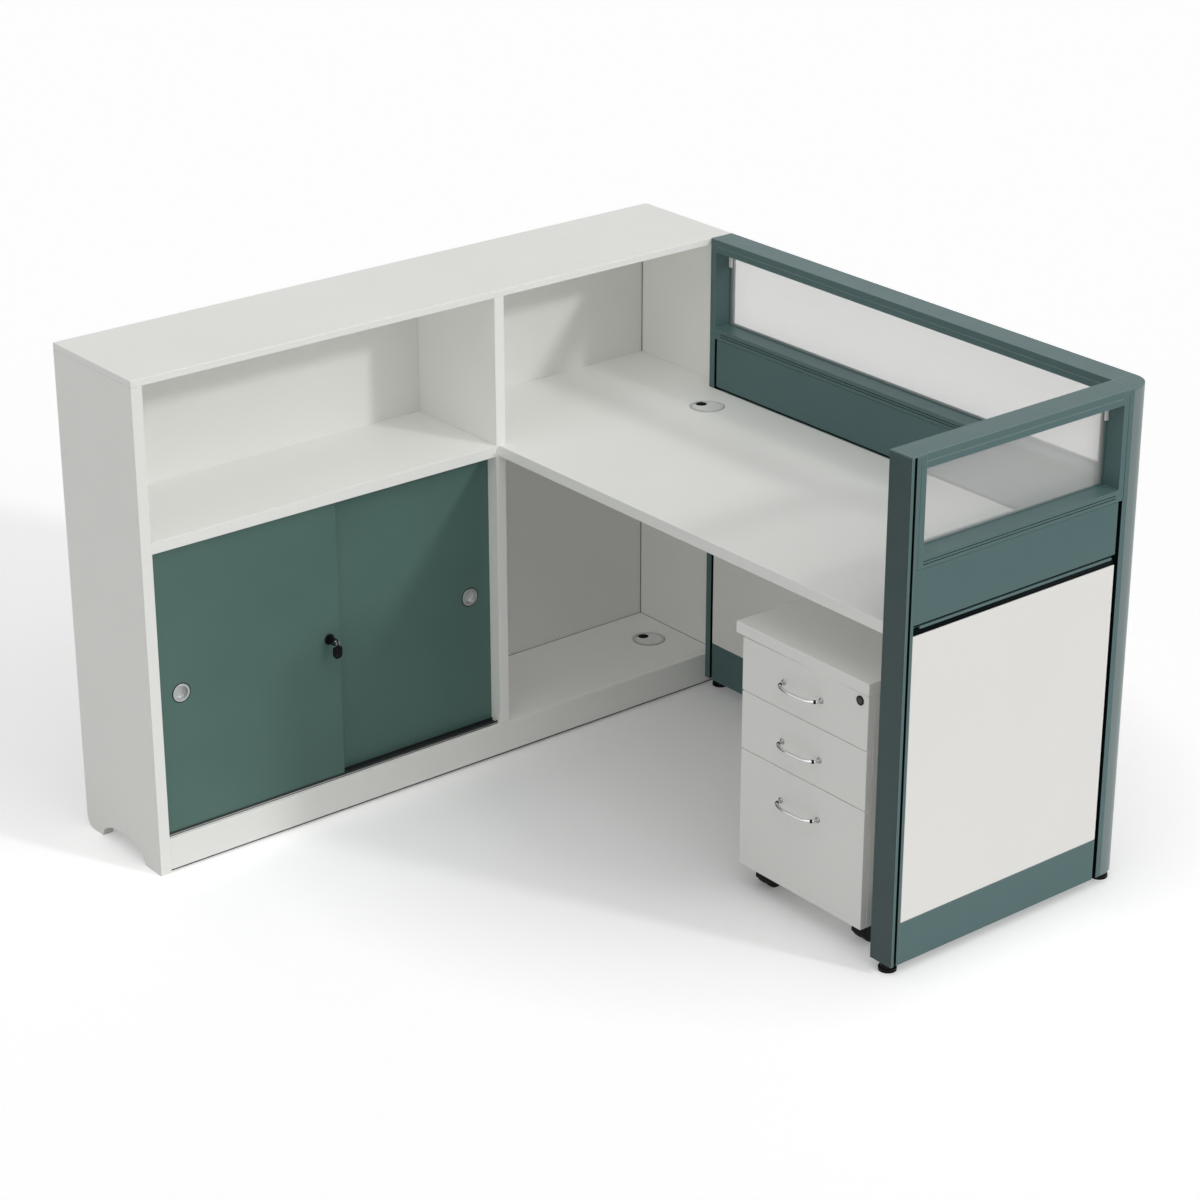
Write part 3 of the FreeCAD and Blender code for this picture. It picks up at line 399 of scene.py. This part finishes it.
# Painted shade for the free end face.
end_shade_paint = surface("end face shade", end_shade_colour, shade=0.06, rough=(0.34, 0.44), relief=0.00002, shine=0.5)
tile_face = surface("white tile", tile_colour, shade=0.012, patch=0.30, rough=(0.40, 0.50), grain=0.0014,
                    relief=0.00002, swell=0.00010, shine=0.42)
tile_rim = surface("white tile rim", shaded(tile_colour, bright_rim_share), shade=0.01, rough=(0.36, 0.44))
track_paint = surface("dark track", track_colour, shade=0.10, patch=0.10, rough=(0.36, 0.48),
                      grain=0.0006, relief=0.00002, shine=0.3, stretch=(1, 0.03, 1))
steel = surface("zinc steel", steel_colour, shade=0.12, patch=0.02, rough=(0.30, 0.45), grain=0.0008,
                relief=0.00001, metal=1.0)
pull_metal = surface("satin pull", pull_colour, shade=0.05, patch=0.02, rough=(0.42, 0.52), grain=0.0006,
                     relief=0.00002, metal=1.0)
dark_metal = surface("dark metal", dark_metal_colour, shade=0.10, patch=0.01, rough=(0.24, 0.34),
                     grain=0.0004, relief=0.00001, metal=1.0)
key_metal = surface("key metal", key_colour, shade=0.06, patch=0.01, rough=(0.24, 0.34), grain=0.0004,
                    relief=0.00001, metal=1.0)
base_metal = surface("handle base", base_colour, shade=0.06, patch=0.01, rough=(0.20, 0.30), grain=0.0004,
                     relief=0.00001, metal=1.0)
chrome = surface("chrome", chrome_colour, shade=0.03, patch=0.03, rough=(0.07, 0.14), grain=0.0006,
                 relief=0.000002, metal=1.0)
black = surface("black plastic", black_colour, shade=0.15, patch=0.02, rough=(0.30, 0.42), grain=0.0005,
                relief=0.00002, shine=0.12)
wheel = surface("wheel plastic", wheel_colour, shade=0.15, patch=0.02, rough=(0.40, 0.55), grain=0.0006,
                relief=0.00003, shine=0.22)
grommet = surface("grommet plastic", grommet_colour, shade=0.03, patch=0.02, rough=(0.34, 0.44),
                  grain=0.0005, relief=0.00002)
shell = surface("drawer board", shell_colour, shade=0.03, patch=0.15, rough=(0.50, 0.62), grain=0.0016,
                relief=0.00003)
# A dark insert at each slot's bottom, and painted shade in recesses, grooves, grommets, at the track and
# round the pulls.
insert_and_painted_shade = surface("black insert and painted shade", insert_and_shade_colour, shade=0.10, patch=0.03, rough=(0.5, 0.65), grain=0.0005,
                 relief=0.00002, shine=0.03)
# Dark joint lines, painted shade in the cabinet's corners, under its top and under its plinth.
dark_joint_and_painted_shade = surface("joint line and painted shade", joint_and_shade_colour, shade=0.10, patch=0.05, rough=(0.55, 0.65), grain=0.0006,
                     shine=0.2)
lip_metal = surface("track lip", lip_colour, shade=0.05, patch=0.08, rough=(0.34, 0.44), grain=0.0006,
                    relief=0.00001, stretch=(1, 0.03, 1))
bead_plastic = surface("glazing bead", bead_colour, shade=0.03, patch=0.05, rough=(0.4, 0.5),
                       grain=0.0006)
clip_plastic = surface("glazing clip", clip_colour, shade=0.02, patch=0.03, rough=(0.35, 0.45),
                       grain=0.0006)
glass = glass_material()

# The thin way of each board, for its edge bands
board_axes = {"cabinet_left_end": "y", "cabinet_right_end": "y", "cabinet_divider": "y", "cabinet_top": "z",
              "niche_shelf": "z", "cabinet_floor": "z", "cabinet_back": "x", "plinth_rails": "x",
              "inner_shelf": "z", "desk_top": "z", "pedestal_top": "z", "pedestal_carcase": "x",
              "upper_drawer_front": "y", "middle_drawer_front": "y", "lower_drawer_front": "y"}
finishes = {"door_board": (door_face, door_rim), "frame_paint": (paint, paint_rim_highlight),
            "blue_tile": (blue_tile, paint_rim_highlight), "white_tile": (tile_face, tile_rim),
            "clear_glass": (glass, glass),
            "track_aluminium": (track_paint, track_paint), "satin_metal": (pull_metal, pull_metal),
            "chrome": (chrome, chrome), "steel": (steel, steel), "black_plastic": (black, black),
            "wheel_plastic": (wheel, wheel), "grommet_plastic": (grommet, grommet),
            "drawer_shell": (shell, shell)}
own_finishes = {"corner_post": (post_highlight_paint, paint_rim_highlight), "key_core": (key_metal, key_metal),
                "drawer_lock_plug": (dark_metal, dark_metal)}
edge_widths = {"white_board": board_edge, "door_board": board_edge, "frame_paint": paint_edge,
               "blue_tile": fine_edge, "white_tile": fine_edge, "track_aluminium": fine_edge,
               "steel": fine_edge, "black_plastic": fine_edge, "grommet_plastic": fine_edge,
               "drawer_shell": board_edge}


def dress(name):
    piece = nodes[name]
    kind = slot_of[name]
    if kind == "white_board":
        face, rim = laminate[board_axes[name]], laminate_rim
    else:
        face, rim = own_finishes.get(name, finishes[kind])
    piece.data.materials.clear()
    piece.data.materials.append(face)
    piece.data.materials.append(rim)
    weld = piece.modifiers.new("weld", "WELD")
    weld.merge_threshold = weld_distance
    if kind in flattened and name not in touching:
        flat = piece.modifiers.new("flat faces", "DECIMATE")
        flat.decimate_type = "DISSOLVE"
        flat.angle_limit = flat_angle
    if kind in edge_widths:
        bevel = piece.modifiers.new("edges", "BEVEL")
        bevel.width = edge_widths[kind]
        bevel.segments = edge_steps
        bevel.limit_method = "ANGLE"
        bevel.angle_limit = sharp_angle
        bevel.use_clamp_overlap = True
        bevel.loop_slide = False
        bevel.material = 1
        bevel.face_strength_mode = "FSTR_ALL"
        normals = piece.modifiers.new("normals", "WEIGHTED_NORMAL")
        normals.use_face_influence = True
        normals.keep_sharp = True


for name in nodes:
    dress(name)


# Mesh helpers for the small pieces
def made(name, build, material, body, rounding=0.0):
    mesh = bpy.data.meshes.new(name)
    shape = bmesh.new()
    build(shape)
    bmesh.ops.recalc_face_normals(shape, faces=shape.faces)
    shape.to_mesh(mesh)
    shape.free()
    for face in mesh.polygons:
        face.use_smooth = True
    piece = bpy.data.objects.new(name, mesh)
    bpy.context.scene.collection.objects.link(piece)
    mesh.materials.append(material)
    if rounding:
        bevel = piece.modifiers.new("edges", "BEVEL")
        bevel.width = rounding
        bevel.segments = edge_steps
        bevel.limit_method = "ANGLE"
        bevel.angle_limit = sharp_angle
        normals = piece.modifiers.new("normals", "WEIGHTED_NORMAL")
        normals.keep_sharp = True
    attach(piece, body)
    return piece


def brick(shape, low, high):
    corners = [shape.verts.new((x, y, z)) for x in (low[0], high[0]) for y in (low[1], high[1])
               for z in (low[2], high[2])]
    for face in ((0, 1, 3, 2), (4, 6, 7, 5), (0, 4, 5, 1), (2, 3, 7, 6), (0, 2, 6, 4), (1, 5, 7, 3)):
        shape.faces.new([corners[i] for i in face])


def circle(shape, radius, height, place, turn, sides):
    points = []
    for i in range(sides):
        angle = 2 * math.pi * i / sides
        point = Vector((radius * math.cos(angle), radius * math.sin(angle), height))
        points.append(shape.verts.new(Vector(place) + turn @ point))
    return points


def join(shape, first, second):
    """Faces from one loop of points to the next."""
    for i in range(len(first)):
        j = (i + 1) % len(first)
        shape.faces.new((first[i], first[j], second[j], second[i]))


def closed(shape, loops):
    """A closed shape through the loops, one after another."""
    for first, second in zip(loops, loops[1:]):
        join(shape, first, second)
    shape.faces.new(loops[0][::-1])
    shape.faces.new(loops[-1])


def turn_to(axis):
    return Vector(axes["z"]).rotation_difference(Vector(axis)).to_matrix()


def turned(shape, profile, place, axis, sides=turned_sides):
    """A turned piece from (radius, height) pairs, set at place with its height along axis."""
    turn = turn_to(axis)
    loops = [circle(shape, radius, height, place, turn, sides) for radius, height in profile]
    closed(shape, loops)


def ring(shape, place, axis, outer, inner, low, high):
    """A flat ring from inner to outer radius, between two heights along its axis."""
    turn = turn_to(axis)
    profile = ((outer, low), (outer, high), (inner, high), (inner, low))
    loops = [circle(shape, radius, height, place, turn, ring_sides) for radius, height in profile]
    for first, second in zip(loops, loops[1:] + loops[:1]):
        join(shape, first, second)


def wire(shape, points, radius):
    """A round wire along points that share one height."""
    loops = []
    for i, point in enumerate(points):
        ahead = points[min(i + 1, len(points) - 1)] - points[max(i - 1, 0)]
        side = ahead.cross(Vector(axes["z"])).normalized()
        loop = []
        for k in range(wire_sides):
            angle = 2 * math.pi * k / wire_sides
            offset = side * math.cos(angle) + Vector(axes["z"]) * math.sin(angle)
            loop.append(shape.verts.new(point + offset * radius))
        loops.append(loop)
    closed(shape, loops)


# What the frame leaves open. Along each partition, lengths are counted from its start, and through it from
# the face that the window is deep on.
long_low, long_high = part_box("long_uprights")
end_low, end_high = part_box("end_uprights")
sill_low, sill_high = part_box("sill_rails")
window_low = sill_high.z
window_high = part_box("top_caps")[0].z
frame_foot = long_low.z
frame_top = long_high.z
frame_thickness = long_high.y - long_low.y
long_length = long_high.x - long_low.x
end_length = end_high.y - end_low.y
lower_tile_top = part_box("lower_tiles")[1].z
desk_low, desk_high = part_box("desk_top")
fin_bottom = desk_high.z - fin_height


def on_long(along, through, up):
    return (long_low.x + along, long_low.y + through, up)


def on_end(along, through, up):
    return (end_high.x - through, end_low.y + along, up)


def strip(shape, place, along, through, up):
    a = place(along[0], through[0], up[0])
    b = place(along[1], through[1], up[1])
    brick(shape, [min(p, q) for p, q in zip(a, b)], [max(p, q) for p, q in zip(a, b)])


windows = [(on_long, cabinet_window_edge, long_length - cabinet_window_edge),
           (on_end, free_window_edge, end_length - post_window_edge)]


def bead_ring(shape, place, start_at, end_at, through):
    strip(shape, place, (start_at, end_at), through, (window_low, window_low + bead_rail))
    strip(shape, place, (start_at, end_at), through, (window_high - bead_rail, window_high))
    between = (window_low + bead_rail, window_high - bead_rail)
    strip(shape, place, (start_at, start_at + bead_side), through, between)
    strip(shape, place, (end_at - bead_side, end_at), through, between)


def glazing_beads(shape):
    pane_back = pane_setback + pane_thickness
    for place, start_at, end_at in windows:
        bead_ring(shape, place, start_at, end_at, (pane_setback - bead_depth, pane_setback))
        bead_ring(shape, place, start_at, end_at, (pane_back, pane_back + bead_depth))


def glazing_clips(shape):
    front = pane_setback - bead_depth
    through = (front - clip_depth, front)
    up = (window_high - clip_height, window_high)
    for place, start_at, end_at in windows:
        strip(shape, place, (start_at, start_at + clip_width), through, up)
        strip(shape, place, (end_at - clip_width, end_at), through, up)


made("glazing_beads", glazing_beads, bead_plastic, "station", bead_edge)
made("glazing_clips", glazing_clips, clip_plastic, "station", clip_edge)


# Black strips: a dark insert at each slot's bottom, and painted shade on the slots' walls, in the joints
# between the rows of tiles and in the sill grooves
def flipped(along, length):
    return (length - along[1], length - along[0])


def both_strips(shape, place, along, through, up):
    strip(shape, place, along, through, up)
    strip(shape, place, along, (frame_thickness - through[1], frame_thickness - through[0]), up)


def slot_inserts_and_painted_shade(shape):
    joined_height = (frame_foot, sill_low.z)
    slots = [(on_long, cabinet_slot, joined_height),
             (on_long, flipped(cabinet_slot, long_length), joined_height),
             (on_end, free_slot, (frame_foot, frame_top)),
             (on_end, flipped(post_slot, end_length), joined_height)]
    for place, along, up in slots:
        both_strips(shape, place, along, (slot_depth - shade_lining, slot_depth), up)
        both_strips(shape, place, (along[0], along[0] + shade_lining), (mouth, slot_depth), up)
        both_strips(shape, place, (along[1] - shade_lining, along[1]), (mouth, slot_depth), up)


# Painted shade in the joint between the rows of tiles, in the seam above the fin and in the grooves of the
# sill rail.
def painted_joint_shade(shape):
    joint = (lower_tile_top, fin_bottom)
    seam = (fin_bottom + fin_height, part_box("upper_tiles")[0].z)
    for place, start_at, end_at in [(on_long, tile_edge, long_length - tile_edge),
                                    (on_end, free_tile_edge, end_length - tile_edge)]:
        both_strips(shape, place, (start_at, end_at), (joint_setback, joint_depth), joint)
        both_strips(shape, place, (start_at, end_at), (seam_shade_setback, joint_depth), seam)
        for drop in groove_drops:
            floor_of_groove = (groove_size - shade_lining, groove_size)
            both_strips(shape, place, (start_at + tile_lap, end_at - tile_lap), floor_of_groove,
                        (sill_high.z - drop, sill_high.z - drop + groove_size))


made("slot_inserts_and_painted_shade", slot_inserts_and_painted_shade, insert_and_painted_shade, "station", insert_edge)
made("painted_joint_shade", painted_joint_shade, insert_and_painted_shade, "station")

# Dark lines where the cabinet's boards meet, painted shade in its corners and under its top, painted shadow
# at its track, door feet and plinth, and the track's lip
divider_low, divider_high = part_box("cabinet_divider")
right_low, right_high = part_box("cabinet_right_end")
left_low, left_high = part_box("cabinet_left_end")
plinth_low, plinth_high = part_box("plinth_rails")
track_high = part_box("door_tracks")[1]
front_door_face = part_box("front_door")[1].x
rear_door_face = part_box("rear_door")[1].x
back_low, back_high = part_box("cabinet_back")


# Painted shade in the corners of the bays, where the back, the end panel and the floor meet.
def painted_corner_shade(shape):
    y_end = right_low.y
    for low, high in ((plinth_high.z, desk_low.z), (desk_high.z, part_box("cabinet_top")[0].z)):
        brick(shape, (back_high.x, y_end - line_size, low), (back_high.x + line_size, y_end, high))
    floor_line = (plinth_high.z, plinth_high.z + fine_line)
    brick(shape, (back_high.x, y_end - fine_line, floor_line[0]), (right_high.x, y_end, floor_line[1]))
    brick(shape, (back_high.x, divider_high.y, floor_line[0]),
          (back_high.x + fine_line, y_end, floor_line[1]))


# Painted shadow: a dark strip in the gap under the plinth, where it meets the floor.
def plinth_painted_shadow(shape):
    x_seal = plinth_high.x - plinth_setback
    brick(shape, (x_seal - plinth_shadow_depth, left_high.y, plinth_play), (x_seal, right_low.y, plinth_low.z))


def track_lip(shape):
    brick(shape, (track_high.x, left_high.y, plinth_high.z + line_size),
          (track_high.x + track_line, divider_low.y, plinth_high.z + lip_top))


# Painted shadow: a black line under the track's lip and a dark strip in front of each door's foot.
def cabinet_painted_shadows(shape):
    brick(shape, (track_high.x, left_high.y, plinth_high.z),
          (track_high.x + track_line, divider_low.y, plinth_high.z + line_size))
    for face in (front_door_face, rear_door_face):
        brick(shape, (face + door_shadow_play, left_high.y, plinth_high.z + door_shadow_low),
              (face + door_shadow_play + door_shadow_depth, divider_low.y, plinth_high.z + door_shadow_high))


def back_joints(shape):
    """The dark bottoms of the joints round the back panel, seen from behind."""
    depths = (back_low.x + groove_shallow, back_low.x + groove_deep)
    for y in (back_low.y, back_high.y):
        brick(shape, (depths[0], y - groove_half, back_low.z), (depths[1], y + groove_half, back_high.z))
    for z in (back_low.z, back_high.z):
        brick(shape, (depths[0], back_low.y, z - groove_half), (depths[1], back_high.y, z + groove_half))


def top_joint_painted_shade(shape):
    """A painted shade line under the top board where it meets each end panel, seen from the ends."""
    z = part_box("cabinet_top")[0].z
    for y, inwards in ((left_low.y, 1), (right_high.y, -1)):
        depths = sorted((y + inwards * groove_shallow, y + inwards * groove_deep))
        brick(shape, (left_low.x, depths[0], z - groove_half), (left_high.x, depths[1], z + groove_half))


made("painted_corner_shade", painted_corner_shade, dark_joint_and_painted_shade, "station")
made("top_joint_painted_shade", top_joint_painted_shade, dark_joint_and_painted_shade, "station")
made("back_joints", back_joints, dark_joint_and_painted_shade, "station")
made("cabinet_painted_shadows", cabinet_painted_shadows, insert_and_painted_shade, "station")
made("plinth_painted_shadow", plinth_painted_shadow, dark_joint_and_painted_shade, "station")
made("track_lip", track_lip, lip_metal, "station")


# Grommets: painted shade inside the sleeve and in the cap's notch, painted shade lines round the ring and
# the cap, and a low bead
def cap_middle(name):
    low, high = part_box(name)
    return ((low.x + high.x) / 2, (low.y + high.y) / 2, high.z)


grommet_places = [cap_middle("desk_grommet_cap"), cap_middle("bay_grommet_cap")]


# Painted shade: a black sheet inside each grommet's sleeve.
def grommet_painted_shade(shape):
    for place in grommet_places:
        ring(shape, place, axes["z"], throat_radius, throat_radius - shade_lining, -sleeve_depth, -cap_depth)


# Painted shade lines round each grommet's ring and its cap.
def grommet_shade_lines(shape):
    for place in grommet_places:
        for radius, width in ((line_radius, outline_width), (cap_radius, cap_line_width)):
            ring(shape, place, axes["z"], radius + width, radius, -outline_height, outline_height)


def grommet_beads(shape):
    for place in grommet_places:
        ring(shape, place, axes["z"], line_radius, line_radius - bead_width, -bead_height, bead_height)


# Painted shade: a black disc under the cap's notch, so that the opening reads dark.
def notch_painted_shade(place):
    def build(shape):
        x, y, z = place
        profile = [(notch_shade_radius, notch_shade_bottom), (notch_shade_radius, notch_shade_top)]
        turned(shape, profile, (x - notch_offset, y, z), axes["z"], notch_shade_sides)
    return build


made("grommet_painted_shade", grommet_painted_shade, insert_and_painted_shade, "station")
made("grommet_shade_lines", grommet_shade_lines, insert_and_painted_shade, "station")
made("grommet_beads", grommet_beads, grommet, "station", insert_edge)
for body, place in zip(("desk_cap", "bay_cap"), grommet_places):
    made(body + "_notch_shade", notch_painted_shade(place), insert_and_painted_shade, body)


# A thin black ring round each finger pull: painted shade at the edge of its cup
def pull_shade_ring(door, pull):
    low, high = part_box(pull)
    place = (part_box(door)[1].x, (low.y + high.y) / 2, (low.z + high.z) / 2)
    radius = (high.y - low.y) / 2

    def build(shape):
        ring(shape, place, axes["x"], radius + pull_shade_width, radius - pull_shade_width, 0.0, pull_shade_height)
    return build


made("front_pull_shade_ring", pull_shade_ring("front_door", "front_door_pull"), insert_and_painted_shade, "front_door")
made("rear_pull_shade_ring", pull_shade_ring("rear_door", "rear_door_pull"), insert_and_painted_shade, "rear_door")


# A dark cover over the free end of the end partition: painted shade on that end face, which is turned away
# from the key lamps
def end_face_shade(shape):
    brick(shape, (end_low.x + end_shade_margin, end_low.y - end_shade_thickness, frame_foot),
          (end_high.x - end_shade_margin, end_low.y, frame_top - end_shade_margin))


made("end_face_shade", end_face_shade, end_shade_paint, "station", end_shade_edge)


# Screws
def screw(shape, place, axis):
    profile = [(screw_radius * out, screw_height * up) for out, up in screw_shares]
    turned(shape, profile, place, axis, screw_sides)


def bracket_screws(shape):
    x_start = long_low.x
    x_end = long_high.x
    y_wall = long_low.y
    brackets = [((x_start + bracket_inset, y_wall), (0, -1)), (((x_start + x_end) / 2, y_wall), (0, -1)),
                ((x_end - bracket_inset, y_wall), (0, -1)), ((x_end, desk_low.y + bracket_inset), (-1, 0)),
                ((x_end, (desk_low.y + y_wall) / 2 + bracket_inset), (-1, 0)),
                ((bay_middle, bay_start), (0, 1)), ((bay_middle, desk_high.y), (0, -1))]
    for (x, y), (dx, dy) in brackets:
        for side in (-screw_spread, screw_spread):
            sx = x + side * abs(dy)
            sy = y + side * abs(dx)
            under = desk_low.z - bracket_plate
            screw(shape, (sx + dx * screw_reach, sy + dy * screw_reach, under), (0, 0, -1))
            wall = desk_low.z - screw_reach
            screw(shape, (sx + dx * bracket_plate, sy + dy * bracket_plate, wall), (dx, dy, 0))


made("bracket_screws", bracket_screws, steel, "station")


# Bow handles, each one bent wire on two round bases, with a black band near each end of its grip: a painted
# dark reflection
def bow_path(middle, face, height, start_at, end_at, steps):
    points = []
    for i in range(steps + 1):
        angle = start_at + (end_at - start_at) * i / steps
        along = math.copysign(abs(math.cos(angle)) ** bow_power, math.cos(angle))
        out = max(math.sin(angle), 0.0) ** bow_power
        points.append(Vector((middle + handle_half * along, face - handle_reach * out, height)))
    return points


def handle_place(handle):
    low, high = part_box(handle)
    return (low.x + high.x) / 2, high.y, (low.z + high.z) / 2


def bow_handle(handle):
    middle, face, height = handle_place(handle)

    def build(shape):
        wire(shape, bow_path(middle, face, height, 0.0, math.pi, bow_steps), wire_radius)
    return build


def handle_bases(handle):
    middle, face, height = handle_place(handle)

    def build(shape):
        for side in (-handle_half, handle_half):
            turned(shape, base_profile, (middle + side, face, height), (0, -1, 0))
    return build


# Painted dark reflections near the ends of the grip.
def handle_painted_reflections(handle):
    middle, face, height = handle_place(handle)

    def build(shape):
        for start_at, end_at in ((painted_reflection_from, painted_reflection_to), (math.pi - painted_reflection_to, math.pi - painted_reflection_from)):
            wire(shape, bow_path(middle, face, height, start_at, end_at, painted_reflection_steps), painted_reflection_radius)
    return build


# Bolts that hold the handles, inside each drawer
drawer_bolts = {"upper_drawer": "upper_drawer_handle", "middle_drawer": "middle_drawer_handle",
                "lower_drawer": "lower_drawer_handle"}


def handle_bolts(body, handle):
    middle, _, height = handle_place(handle)
    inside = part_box(body + "_box")[0].y + drawer_board

    def build(shape):
        for side in (-handle_half, handle_half):
            screw(shape, (middle + side, inside, height), (0, 1, 0))
    return build


for body, handle in drawer_bolts.items():
    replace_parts(made(body + "_bow_handle", bow_handle(handle), chrome, body), handle)
    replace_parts(made(body + "_handle_bases", handle_bases(handle), base_metal, body), handle)
    made(body + "_handle_painted_reflections", handle_painted_reflections(handle), black, body)
    made(body + "_handle_bolts", handle_bolts(body, handle), steel, body)

# A white strip that closes the gap between the pedestal's slab and its upper drawer
slab_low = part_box("pedestal_top")[0]
front_low, front_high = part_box("upper_drawer_front")


def pedestal_strip(shape):
    brick(shape, (front_low.x + strip_inset, front_low.y + strip_setback, front_high.z + strip_play),
          (front_high.x - strip_inset, front_low.y + strip_depth, slab_low.z))


made("pedestal_strip", pedestal_strip, laminate_rim, "pedestal")


# Stage
def seen_directly(tree):
    """One for rays from the camera, off metal or through glass, and zero for rays that only light."""
    path = tree.nodes.new("ShaderNodeLightPath")
    total = path.outputs["Is Camera Ray"]
    for output in ("Is Glossy Ray", "Is Transmission Ray"):
        either = tree.nodes.new("ShaderNodeMath")
        either.operation = "MAXIMUM"
        tree.links.new(total, either.inputs[0])
        tree.links.new(path.outputs[output], either.inputs[1])
        total = either.outputs[0]
    return total


def floor_material():
    material, tree, shader = start("floor")
    seen = seen_directly(tree)
    place = tree.nodes.new("ShaderNodeTexCoord")
    distance = tree.nodes.new("ShaderNodeVectorMath")
    distance.operation = "LENGTH"
    tree.links.new(place.outputs["Object"], distance.inputs[0])
    # Painted shade near the workstation, paler further away.
    away = spread(tree, distance.outputs["Value"], 0.0, 1.0, floor_near, floor_far)
    pale = mixed(tree, away, (floor_painted_shade,) * 3, (floor_white,) * 3)
    tint = mixed(tree, seen, (floor_bounce,) * 3, pale)
    tree.links.new(tint, shader.inputs["Base Color"])
    shader.inputs["Roughness"].default_value = floor_roughness
    shader.inputs["Specular IOR Level"].default_value = 0.0
    shader.inputs["Emission Color"].default_value = (1, 1, 1, 1)
    # A painted glow for camera rays, growing away from the workstation.
    glow = tree.nodes.new("ShaderNodeMath")
    glow.operation = "MULTIPLY"
    tree.links.new(spread(tree, seen, 0.0, floor_glow, 0.0, 1.0), glow.inputs[0])
    tree.links.new(away, glow.inputs[1])
    tree.links.new(glow.outputs[0], shader.inputs["Emission Strength"])
    return material


def set_floor():
    mesh = bpy.data.meshes.new("floor")
    half = floor_half_side
    mesh.from_pydata([(-half, -half, 0), (half, -half, 0), (half, half, 0), (-half, half, 0)], [],
                     [(0, 1, 2, 3)])
    floor = bpy.data.objects.new("floor", mesh)
    bpy.context.scene.collection.objects.link(floor)
    mesh.materials.append(floor_material())
    floor.location = floor_middle


def set_world():
    world = bpy.data.worlds.new("studio")
    bpy.context.scene.world = world
    world.use_nodes = True
    tree = world.node_tree
    background = tree.nodes["Background"]
    strength = spread(tree, seen_directly(tree), sky_strength, 1.0, 0.0, 1.0)
    tree.links.new(strength, background.inputs["Strength"])
    background.inputs["Color"].default_value = (1, 1, 1, 1)


def set_lamp(name, strength, angle, towards, casts_shadow):
    lamp = bpy.data.lights.new(name, "SUN")
    lamp.energy = strength
    lamp.angle = math.radians(angle)
    lamp.use_shadow = casts_shadow
    piece = bpy.data.objects.new(name, lamp)
    piece.rotation_mode = "QUATERNION"
    piece.rotation_quaternion = Vector(towards).to_track_quat("Z", "Y")
    bpy.context.scene.collection.objects.link(piece)


def set_camera():
    camera = bpy.data.cameras.new("camera")
    camera.lens = camera_lens
    camera.sensor_width = sensor_width
    camera.clip_start = camera_near
    camera.clip_end = camera_far
    piece = bpy.data.objects.new("camera", camera)
    azimuth = math.radians(camera_azimuth)
    elevation = math.radians(camera_elevation)
    back = Vector((math.sin(azimuth) * math.cos(elevation), -math.cos(azimuth) * math.cos(elevation),
                   math.sin(elevation)))
    piece.location = camera_place
    piece.rotation_mode = "QUATERNION"
    piece.rotation_quaternion = (-back).to_track_quat("-Z", "Y")
    bpy.context.scene.collection.objects.link(piece)
    bpy.context.scene.camera = piece


set_floor()
set_world()
for name, lamp_values in lamps.items():
    set_lamp(name, *lamp_values)
set_camera()
bpy.context.scene.view_settings.view_transform = "Standard"
